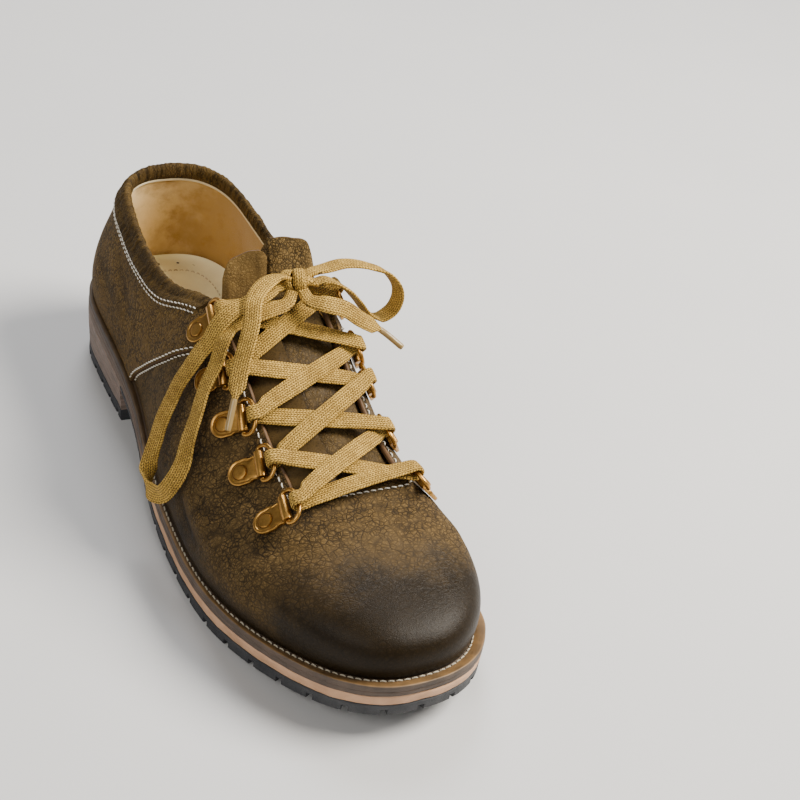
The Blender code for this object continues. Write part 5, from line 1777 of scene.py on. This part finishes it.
@dataclass
class Insole:
    """Smooth sock of leather with a sewn heel pad and pin holes."""

    columns: int = 160
    crown: int = 40
    cup: float = 2.6
    cup_reach: float = 4.5
    pad_inset: float = 15.0
    pad_end: float = 0.15
    hole_inset: float = 8.5
    hole_radius: float = 0.75
    hole_end: float = 0.12
    holes: int = 11
    hole_form: Table = ((1.0, 0.12), (0.75, 0.16), (0.55, -0.05), (0.2, -0.2))
    thread: Thread = Thread(pitch=2.8, share=0.6)

    def height(self, y: Array) -> Array:
        """Height of the upper face at places y."""
        return LAST.sole_height(y) - SOLE.welt + SOLE.insole

    def sheet(self) -> Piece:
        """The sock, slightly dished under the heel."""
        turn = LAST.even_turns(0, 0.5, self.columns)
        inset = SOLE.welt_inside + LAST.gap
        left, right = (LAST.feather_line(t) - LAST.outward(t) * inset for t in (turn, 1 - turn))
        part = np.linspace(0, 1, self.crown)
        plan = left[:, None] + (right - left)[:, None] * part[None, :, None]
        border = np.minimum(part, 1 - part) * np.linalg.norm(right - left, axis=1)[:, None]
        top = self.height(plan[..., 1]) - 0.2 + self.cup * np.exp(-border / self.cup_reach)
        low = LAST.sole_height(plan[..., 1]) - SOLE.welt + 0.02
        top, low = (np.concatenate([plan, z[..., None]], axis=2) for z in (top, low))
        grid = np.concatenate([top, low[:, ::-1]], axis=1)
        patch = Patch()
        patch.add(grid, grid_faces(*grid.shape[:2], ring_columns=True), 0, grid[..., :2])
        return patch.piece("insole_sock", (INSOLE_LEATHER,), "insole_leather", "insole")

    def pad_line(self, inset: float, end: float, count: int) -> Array:
        """Places on the sock at an inset from the feather line, round the heel."""
        stop = LAST.turn_at(end)
        turn = LAST.even_turns(-stop, stop, count)
        plan = LAST.feather_line(turn) - LAST.outward(turn) * inset
        return np.column_stack([plan, self.height(plan[:, 1]) + 0.15])

    def pad(self) -> Piece:
        """Stitches of the heel pad."""
        line = self.pad_line(self.pad_inset, self.pad_end, 120)
        return self.thread.sew("pad_stitches", WELT_THREAD, [(line, UP)])

    def pin_holes(self) -> Piece:
        """Small dimples round the heel seat, coloured dark as painted shade inside the holes."""
        patch = Patch()
        around = 10
        angle = 2 * np.pi * np.arange(around) / around
        circle = np.stack([np.cos(angle), np.sin(angle), np.zeros(around)], axis=1) * self.hole_radius
        rings = np.stack([circle * radius + (0, 0, z) for radius, z in self.hole_form])
        faces = tube_faces(len(rings), around)
        del faces[-2]  # the wide end lies on the sock and stays open
        for centre in self.pad_line(self.hole_inset, self.hole_end, self.holes):
            patch.add(centre + rings, faces)
        # Dark rubber finish as painted shade inside the holes
        return patch.piece("pin_holes", (SOLE_RUBBER,), "insole_leather")

    def build(self) -> list[Piece]:
        """Sock, stitches of the pad and pin holes."""
        return [self.sheet(), self.pad(), self.pin_holes()]


# Lacing hardware


# Rivets of the lacing plates: how far along on the lateral and the medial side, share of the wall, raised by
HOOKS: Table = (
    (0.792, 0.790, 0.82, 0.0),
    (0.671, 0.660, 0.79, 0.0),
    (0.602, 0.585, 0.78, 0.0),
    (0.541, 0.535, 0.77, 0.0),
    (0.482, 0.468, 0.87, 2.3),
)
# Turned form of the rivet: radius, height above the plate, how dull
RIVET_FORM: Table = (
    (1.2, 0.62, 0.0), (2.2, 0.58, 0.0), (2.75, 0.46, 0.1), (2.95, 0.2, 0.7), (3.1, -0.1, 1.0),
    (3.35, -0.12, 1.0), (3.6, 0.1, 0.4),
)
# Form of the plate's rim: distance in from its outline, height, how dull
RIM_FORM: Table = (
    (1.75, 0.12, 0.0), (1.35, 0.02, 0.6), (0.95, 0.26, 0.1), (0.45, 0.3, 0.0), (0.1, 0.05, 0.0),
    (0.0, -0.35, 0.3), (0.1, -1.2, 0.6),
)
# Rounded barrel: share of its half length, radius
BARREL_FORM: Table = (
    (-1.0, 1.2), (-1.0, 1.75), (-0.985, 1.95), (-0.95, 2.0),
    (0.95, 2.0), (0.985, 1.95), (1.0, 1.75), (1.0, 1.2),
)


@dataclass
class Hardware:
    """Riveted plates, each rolled round a D-ring."""

    half: float = 5.5
    neck: float = 4.8
    thick: float = 1.2
    clear: float = 0.7
    barrel: float = 2.0
    reach: float = 9.6
    wire: float = 0.9
    ring_tilt: float = 10.0
    plate_tilt: float = 0.15
    around: int = 72
    barrel_around: int = 32
    bends: Table = ((6.15, 0.0), (6.6, 0.0), (7.3, 1.3), (6.9, 4.0), (4.6, 6.0), (0.0, 6.5))

    def frame(self, number: int, side: Side) -> tuple[Array, Array]:
        """Origin and axes of a plate on the wall: across, towards the throat, outward."""
        lateral, medial, share, raised = HOOKS[number - 1]
        turn = LAST.turn_at(lateral if side is Side.LATERAL else medial, side.value)
        out = LAST.normal(turn, share)
        origin = LAST.skin(turn, share) + out * (self.clear + raised)
        inward = np.array([-side.value, -self.plate_tilt, 0.0])
        inward = unit(inward - out * np.dot(inward, out))
        return origin, np.array([np.cross(inward, out), inward, out])

    def outline(self, angle: Array) -> Array:
        """Distance of the plate's rim from its rivet: round end, neck and straight end at the barrel."""
        stop = self.reach - 1.3
        x, y = np.cos(angle), np.sin(angle)
        to_end = np.where(y > 0.05, stop / np.maximum(y, 0.05), 1e9)
        waist = np.exp(-(((angle - np.pi / 2) ** 2 - 0.55) ** 2) / 0.06)
        narrow = self.half - (self.half - self.neck) * waist
        to_side = np.where(y > 0, narrow / np.maximum(np.abs(x), 1e-3), narrow)
        return np.minimum(to_end, np.where(y > 0, to_side, self.half))

    def plate(self, patch: Patch, origin: Array, axes: Array) -> None:
        """Adds plate, rivet and barrel."""
        angle = 2 * np.pi * np.arange(self.around) / self.around
        rim = self.outline(angle)
        forms = [(np.minimum(radius, rim - 2.2), z, dull) for radius, z, dull in RIVET_FORM]
        forms += [(rim - inset, z, dull) for inset, z, dull in RIM_FORM]
        rings = []
        for radius, z, _ in forms:
            level = np.full(self.around, self.thick + z)
            rings.append(np.stack([radius * np.cos(angle), radius * np.sin(angle), level], axis=1))
        points = np.stack(rings)
        tone = np.broadcast_to([[dull] for _, _, dull in forms], points.shape[:2])
        faces = tube_faces(*points.shape[:2])
        patch.add(origin + points.reshape(-1, 3) @ axes, faces, 0, points[..., :2], groove=tone)
        spin = 2 * np.pi * np.arange(self.barrel_around) / self.barrel_around
        rings = []
        for x, radius in BARREL_FORM:
            y, z = self.reach + radius * np.cos(spin), self.barrel + radius * np.sin(spin)
            rings.append(np.stack([np.full(len(spin), x * self.half), y, z], axis=1))
        points = np.stack(rings)
        faces = tube_faces(*points.shape[:2])
        patch.add(origin + points.reshape(-1, 3) @ axes, faces, 0, points[..., :2], groove=0.0)

    def ring_axes(self) -> Array:
        """Axes of a D-ring in its plate's frame: across, on from the plate, and square to the ring."""
        tilt = math.radians(self.ring_tilt)
        on, rise = math.cos(tilt), math.sin(tilt)
        return np.array([[1.0, 0.0, 0.0], [0.0, on, rise], [0.0, -rise, on]])

    def ring_line(self) -> Array:
        """Middle line of a D-ring in its plate's frame."""
        half = np.array(self.bends)
        flat = np.concatenate([half * (-1, 1), half[-2::-1]])
        return flat @ self.ring_axes()[:2] + (0.0, self.reach, self.barrel)

    def hold(self, number: int, side: Side) -> tuple[Array, Array, Array]:
        """Middle of a ring's free side, the way on from its plate, and the way square to the ring."""
        origin, axes = self.frame(number, side)
        line = self.ring_line()
        _, ahead, square = self.ring_axes() @ axes
        return origin + line[len(line) // 2] @ axes, ahead, square

    def build(self) -> list[Piece]:
        """All plates and rings."""
        made = []
        path = smooth_path(self.ring_line(), 0.6)
        for side in Side:
            for number in range(1, len(HOOKS) + 1):
                origin, axes = self.frame(number, side)
                plate, ring = Patch(), Patch()
                self.plate(plate, origin, axes)
                placed = origin + path @ axes
                facing = tube_frame(placed, self.ring_axes()[2] @ axes)
                sweep(ring, placed, facing, self.wire, self.wire, 12, groove=0.0)
                where = f"{side.word}_{number}"
                for patch, kind, node in ((plate, "plate", "lacing_plate"), (ring, "ring", "d_ring")):
                    name = f"brass_{kind}_{where}"
                    made.append(patch.piece(name, (BRASS,), "brass", f"{node}_{where}", sharp=40))
        return made


# Lace


class Strand(NamedTuple):
    """Ring that the lace goes through, and how its strand from there on crosses another."""

    side: Side
    number: int
    raised: float


LACE_ROUTE = (
    Strand(Side.LATERAL, 5, -1),
    Strand(Side.MEDIAL, 4, 1),
    Strand(Side.LATERAL, 3, -1),
    Strand(Side.MEDIAL, 2, 1),
    Strand(Side.LATERAL, 1, 0),
    Strand(Side.MEDIAL, 1, -1),
    Strand(Side.LATERAL, 2, 1),
    Strand(Side.MEDIAL, 3, -1),
    Strand(Side.LATERAL, 4, 1),
    Strand(Side.MEDIAL, 5, 0),
)
KNOT: Point = (6, 4, 108)
LOOP_FROM_KNOT: Table = ((-3, 3, 107), (-8, 0, 107), (-18, -4, 105), (-25, -6, 104), (-31, -7, 99))
LOOP_TO_KNOT: Table = ((-30, -12, 96), (-25, -8, 98), (-18, -8, 101), (-9, -7, 103), (-1, -5, 104))
# Hanging loop: place along the shoe, share of the wall, how far it hangs off the wall
LOOP_HANG: Table = (
    (0.520, 0.92, 9), (0.522, 0.86, 9), (0.524, 0.76, 8), (0.524, 0.66, 7), (0.526, 0.55, 6),
    (0.529, 0.44, 6), (0.534, 0.33, 6), (0.541, 0.23, 7), (0.551, 0.17, 8), (0.572, 0.15, 9),
    (0.600, 0.20, 7), (0.612, 0.32, 6), (0.606, 0.45, 5), (0.592, 0.56, 6), (0.578, 0.68, 7),
    (0.561, 0.80, 8), (0.549, 0.90, 8),
)
LOOP_MEDIAL: Table = (
    (14, 2, 108), (18, 1, 109), (26, -2, 106), (32, -2, 100), (38, -3, 93), (44, -3, 90), (48, -4, 93),
    (50, -5, 99), (49, -5, 106), (45, -2, 111), (38, 2, 113), (28, 6, 113), (20, 7, 111), (12, 6, 110),
)
END_LATERAL: Table = (
    (-1, 4, 111), (-5, 2, 112), (-12, -2, 111), (-17, -7, 109),
    (-21, -16, 103), (-28, -26, 90), (-32, -33, 82), (-37, -41, 71),
)
END_MEDIAL: Table = (
    (8, -6, 105), (13, -12, 106), (21, -14, 104), (28, -15, 99), (40, -15, 91), (48, -20, 85),
)
# Way that the lace's flat side faces: number of a bend, counted from 0, and the direction there
FACING_LOOP_LATERAL: Table = (
    (0, 0.30, 0.40, -0.80), (4, 0.62, 0.40, -0.65), (9, 0.80, 0.25, -0.50), (12, 0.70, 0.45, -0.50),
    (13.5, -0.75, 0.50, -0.30), (14.5, -0.50, -0.65, 0.40), (16, -0.55, -0.60, 0.50),
    (19, -0.88, -0.10, 0.42), (22, -0.70, -0.20, 0.65), (26, -0.30, -0.30, 0.85),
)
FACING_END_LATERAL: Table = (
    (0, -0.1, 0.3, 0.9), (1, -0.1, 0.05, 0.95), (4, -0.55, -0.3, 0.75), (7, -0.5, -0.5, 0.7),
)
FACING_END_MEDIAL: Table = ((0, -0.1, -0.5, 0.85), (2, -0.1, -0.6, 0.8), (5, 0.2, -0.45, 0.85))


@dataclass
class Lace:
    """Flat woven lace: crossings through the rings, and a bow with loops and tipped ends."""

    hardware: Hardware
    width: float = 7.7
    thick: float = 1.7
    gather: float = 0.84
    tied_half: float = 2.5
    tied_thick: float = 1.25
    tied_reach: float = 15.0
    wrap: float = 2.4
    arch: float = 1.6
    stack: float = 1.2
    turns: tuple[float, ...] = (-45.0, -22.0, 0.0, 22.0, 45.0, 68.0, 90.0, 112.0, 135.0)
    spans: tuple[float, ...] = (0.12, 0.3, 0.5, 0.7, 0.88)
    start: Point = (-1, 4, 104)
    stop: Point = (13, 4, 104)
    loop_axis: Point = (0.25, -0.93, 0.1)
    knot_axis: Point = (0.9, -0.35, 0.12)
    knot_steps: int = 90
    core_places: tuple[float, ...] = (-8.0, -4.0, 0.0, 4.0, 8.0)
    core_half: Pair = (3.2, 2.4)
    # Turns of the knot: axis, half width, half height and shift along the knot
    knot_turns: Table = ((1.0, -0.3, 0.15, 4.2, 4.6, 1.2), (0.8, -0.75, 0.5, 4.0, 3.9, -3.0))
    aglet_length: float = 13.5
    aglet_radius: float = 1.35

    def crossings(self) -> Piece:
        """Lace from the knot through all rings and back."""
        up = np.array([0.1, 0.6, 0.8])
        full, narrow = self.width / 2, self.width / 2 * self.gather
        path, faces, half, held = [np.array(self.start)], [up], [narrow], {}
        leave, sign, raised, arch = path[0], 1.0, 0.0, 0.0
        for strand in LACE_ROUTE:
            middle, ahead, square = self.hardware.hold(strand.number, strand.side)
            spin = np.radians(self.turns)
            wraps = [math.cos(a) * square - math.sin(a) * ahead for a in spin]
            arrive = middle + wraps[0] * self.wrap
            for share in self.spans:
                turned = share**4 if strand is LACE_ROUTE[0] else share
                over = (1 - turned) * up + turned * wraps[0]
                bulge = 4 * share * (1 - share) * (arch + self.stack * raised)
                path.append((1 - share) * leave + share * arrive + over * bulge)
                faces.append(sign * over)
                half.append(full if 0.2 < share < 0.8 else 0.5 * (full + narrow))
            for radial in wraps:
                held[len(path)] = np.cross(square, ahead) * sign
                path.append(middle + radial * self.wrap)
                faces.append(sign * radial)
                half.append(narrow)
            leave, sign, up, raised, arch = path[-1], -sign, wraps[0], strand.raised, self.arch
        stop = np.array(self.stop)
        path += [0.5 * (leave + stop), stop]
        faces += [sign * up, sign * up]
        half += [full, narrow]
        path, faces = np.array(path), np.array(faces)
        sides, _ = tube_frame(path, faces)
        for place, side in held.items():
            sides[place] = side
        rows = np.column_stack([run_length(path, 0), path, faces, sides, half])
        fine = through(rows, np.linspace(0, rows[-1, 0], 1500))
        line, facing, side, half = fine[:, :3], unit(fine[:, 3:6]), unit(fine[:, 6:9]), fine[:, 9]
        side = unit(side - facing * np.sum(side * facing, axis=1)[:, None])
        patch = Patch()
        sweep(patch, line, (side, facing), half, self.thick / 2, square=3.2)
        return patch.piece("lace_zigzag", (LACE_WEAVE,), "lace", "lace_crossings")

    def ribbon(
        self,
        name: str,
        node: str,
        bends: Table,
        facing: Table | None,
        far_end: str,
        extra: Sequence[Piece] = (),
    ) -> list[Piece]:
        """Loose part of the lace.

        Args:
            name: name of the piece.
            node: solid that it replaces.
            bends: its route from the knot on.
            facing: way that its flat side faces, or None for the loop that stands up.
            far_end: what its far end is. An end with a fitting is drawn together in a sleeve.
            extra: pieces on it.

        Returns:
            The piece and those on it.
        """
        tip = far_end == "fitting"
        ends = bends[:1] if tip else (bends[0], bends[-1])
        tucked = [(np.array(end) + np.array(KNOT)) / 2 for end in ends]
        corners = np.array([tucked[0], *bends, *tucked[1:]])
        path = smooth_path(corners, 0.8)
        run = run_length(path, 0)
        left = run[-1] - run
        if facing is None:
            faces = np.cross(np.array(self.loop_axis), np.gradient(path, axis=0))
        else:
            reached = run_length(corners, 0)
            number = np.interp(run * reached[-1] / run[-1], reached, np.arange(len(corners)))
            faces = through(facing, number - 1)
        free = ease(0, self.tied_reach, run if tip else np.minimum(run, left))
        half = self.tied_half + (self.width / 2 - self.tied_half) * free
        thick = self.tied_thick + (self.thick / 2 - self.tied_thick) * free
        if tip:
            drawn = 1 - ease(self.aglet_length - 1.0, self.aglet_length + 5.0, left)
            half = half + (self.aglet_radius * 0.8 - half) * drawn
            thick = thick + (self.aglet_radius * 0.8 - thick) * drawn
        patch = Patch()
        sweep(patch, path, tube_frame(path, faces), half, thick, square=3.0)
        made = patch.piece(name, (LACE_WEAVE,), "lace", node)
        pieces = list(extra)
        if tip:
            sleeve = name.replace("lace_tail", "tip"), node.replace("lace_end", "aglet")
            pieces.append(self.aglet(*sleeve, path[left < self.aglet_length]))
        return [made, *pieces]

    def aglet(self, name: str, node: str, path: Array) -> Piece:
        """Clear sleeve on the end of the lace."""
        part = np.linspace(0, 1, len(path))
        radius = self.aglet_radius * np.where((part < 0.03) | (part > 0.96), 0.9, 1.0)
        patch = Patch()
        sweep(patch, path, tube_frame(path, UP), radius, radius, 16)
        return patch.piece(name, (AGLET_SLEEVE,), "aglet", node)

    def knot(self) -> Piece:
        """Bundle of the strands with two turns of lace drawn tight round it."""
        patch = Patch()
        centre = np.array(KNOT)
        along = unit(np.array(self.knot_axis))
        core = smooth_path(centre + np.outer(self.core_places, along), 0.8)
        slim = np.sqrt(np.clip(1 - np.linspace(-1, 1, len(core)) ** 2, 0.05, 1))
        half, thick = self.core_half
        sweep(patch, core, tube_frame(core, UP), half * slim, thick * slim, square=2.4)
        for *axis, wide, high, shift in self.knot_turns:
            axis = unit(np.array(axis))
            first = unit(np.cross(axis, UP))
            second = np.cross(first, axis)
            angle = np.linspace(0.15, 2 * np.pi + 0.4, self.knot_steps)[:, None]
            drift = axis * np.linspace(-0.4, 0.4, self.knot_steps)[:, None]
            path = centre + along * shift + np.cos(angle) * first * wide
            path = path + np.sin(angle) * second * high + drift
            facing = tube_frame(path, unit(np.cos(angle) * first / wide + np.sin(angle) * second / high))
            sweep(patch, path, facing, self.tied_half, self.tied_thick * 0.8, square=2.6)
        return patch.piece("bow_knot", (LACE_WEAVE,), "lace", "lace_knot")

    def hanging_loop(self) -> Table:
        """Route of the lateral loop: out of the knot, down the wall and back."""
        along, share, off = np.array(LOOP_HANG).T
        places = LAST.lifted(LAST.turn_at(along, Side.LATERAL.value), share, off)
        return (*LOOP_FROM_KNOT, *(tuple(place) for place in places), *LOOP_TO_KNOT)

    def build(self) -> list[Piece]:
        """Crossings and bow."""
        made, hanging = [], self.hanging_loop()
        for name, node, bends, facing, far_end, stiffness, extra in (
            ("bow_lateral", "loop_lateral", hanging, FACING_LOOP_LATERAL, "knot", "limp", [self.knot()]),
            ("bow_medial", "loop_medial", LOOP_MEDIAL, None, "knot", "medium", []),
            ("tail_lateral", "end_lateral", END_LATERAL, FACING_END_LATERAL, "fitting", "limp", []),
            ("tail_medial", "end_medial", END_MEDIAL, FACING_END_MEDIAL, "fitting", "medium", []),
        ):
            made += self.ribbon(f"lace_{name}", f"lace_{node}", bends, facing, far_end, extra)
        return [*made, self.crossings()]


# Studio


def direction(azimuth: float, elevation: float) -> Vector:
    """Way from the shoe at two angles in degrees, 0 and 0 being its front."""
    turn, rise = math.radians(azimuth), math.radians(elevation)
    return Vector((math.sin(turn) * math.cos(rise), -math.cos(turn) * math.cos(rise), math.sin(rise)))


@dataclass(frozen=True)
class AreaLight:
    """Soft light that looks at the shoe from a direction."""

    name: str
    azimuth: float
    elevation: float
    distance: float
    size: float
    power: float
    colour: Colour = (1.0, 1.0, 1.0)

    def place(self, target: Vector) -> None:
        """Puts the light into the scene."""
        data = bpy.data.lights.new(self.name, "AREA")
        data.shape = "DISK"
        data.size, data.energy, data.color = self.size, self.power, self.colour
        lamp = bpy.data.objects.new(self.name, data)
        way = direction(self.azimuth, self.elevation)
        lamp.location = target + way * self.distance
        lamp.rotation_euler = (-way).to_track_quat("-Z", "Y").to_euler()
        bpy.context.scene.collection.objects.link(lamp)


@dataclass
class Studio:
    """Camera at the photograph's angle, pale floor and soft light."""

    azimuth: float = -31.74
    elevation: float = 34.88
    roll: float = 11.19
    distance: float = 672.7
    target: Point = (46.93, -28.20, 63.38)
    focal_share: float = 1571.96 / 800.0
    sensor: float = 36.0
    clip: Pair = (0.05, 20.0)
    lit_place: Point = (0.0, -0.02, 0.05)
    sky: Colour = (1.0, 0.99, 0.97)
    ambient: float = 0.2
    floor_size: float = 6.0
    lights: tuple[AreaLight, ...] = (
        AreaLight("key", 74.0, 48.0, 1.5, 0.8, 60.0, (1.0, 0.95, 0.87)),
        AreaLight("fill", -60.0, 40.0, 1.6, 1.0, 12.0, (1.0, 0.97, 0.93)),
        AreaLight("rim", 165.0, 50.0, 1.7, 0.7, 20.0, (0.96, 0.97, 1.0)),
    )

    def camera(self) -> None:
        """Places the camera."""
        roll = math.radians(self.roll)
        back = direction(self.azimuth, self.elevation)
        right = (-back).cross(Vector(UP)).normalized()
        up = right.cross(-back)
        across = math.cos(roll) * right + math.sin(roll) * up
        high = -math.sin(roll) * right + math.cos(roll) * up
        data = bpy.data.cameras.new("camera")
        data.sensor_width = self.sensor
        data.lens = self.sensor * self.focal_share
        data.clip_start, data.clip_end = self.clip
        camera = bpy.data.objects.new("camera", data)
        place = Matrix((across, high, back)).transposed().to_4x4()
        place.translation = Vector(to_frame(self.target)) + back * self.distance * MM
        camera.matrix_world = place
        bpy.context.scene.collection.objects.link(camera)
        bpy.context.scene.camera = camera

    def floor(self) -> None:
        """Pale floor with a very faint unevenness."""
        mesh = bpy.data.meshes.new("floor")
        h = self.floor_size / 2
        mesh.from_pydata([(-h, -h, 0), (h, -h, 0), (h, h, 0), (-h, h, 0)], [], [(0, 1, 2, 3)])
        mesh.materials.append(FLOOR.material())
        floor = bpy.data.objects.new("floor", mesh)
        bpy.context.scene.collection.objects.link(floor)

    def light(self) -> None:
        """Lamps and even light from all round."""
        for lamp in self.lights:
            lamp.place(Vector(self.lit_place))
        world = bpy.data.worlds.new("studio")
        bpy.context.scene.world = world
        world.use_nodes = True
        sky = world.node_tree.nodes["Background"]
        sky.inputs[0].default_value = (*self.sky, 1.0)
        sky.inputs[1].default_value = self.ambient


def main() -> None:
    """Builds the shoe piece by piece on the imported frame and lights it."""
    logging.basicConfig(level=logging.INFO, format="%(message)s")
    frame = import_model()
    LOG.info("solids in the frame: %d", len(frame["nodes"]))
    studio = Studio()
    studio.camera()
    hardware = Hardware()
    makers = (Lace(hardware), Upper(), RearQuarter(), CollarBand(), Tongue(), Insole(), SoleEdges(), hardware)
    for maker in makers:
        for piece in maker.build():
            LOG.info("%s: %d faces", piece.name, len(piece.data.polygons))
    studio.floor()
    studio.light()


if __name__ == "__main__":
    main()
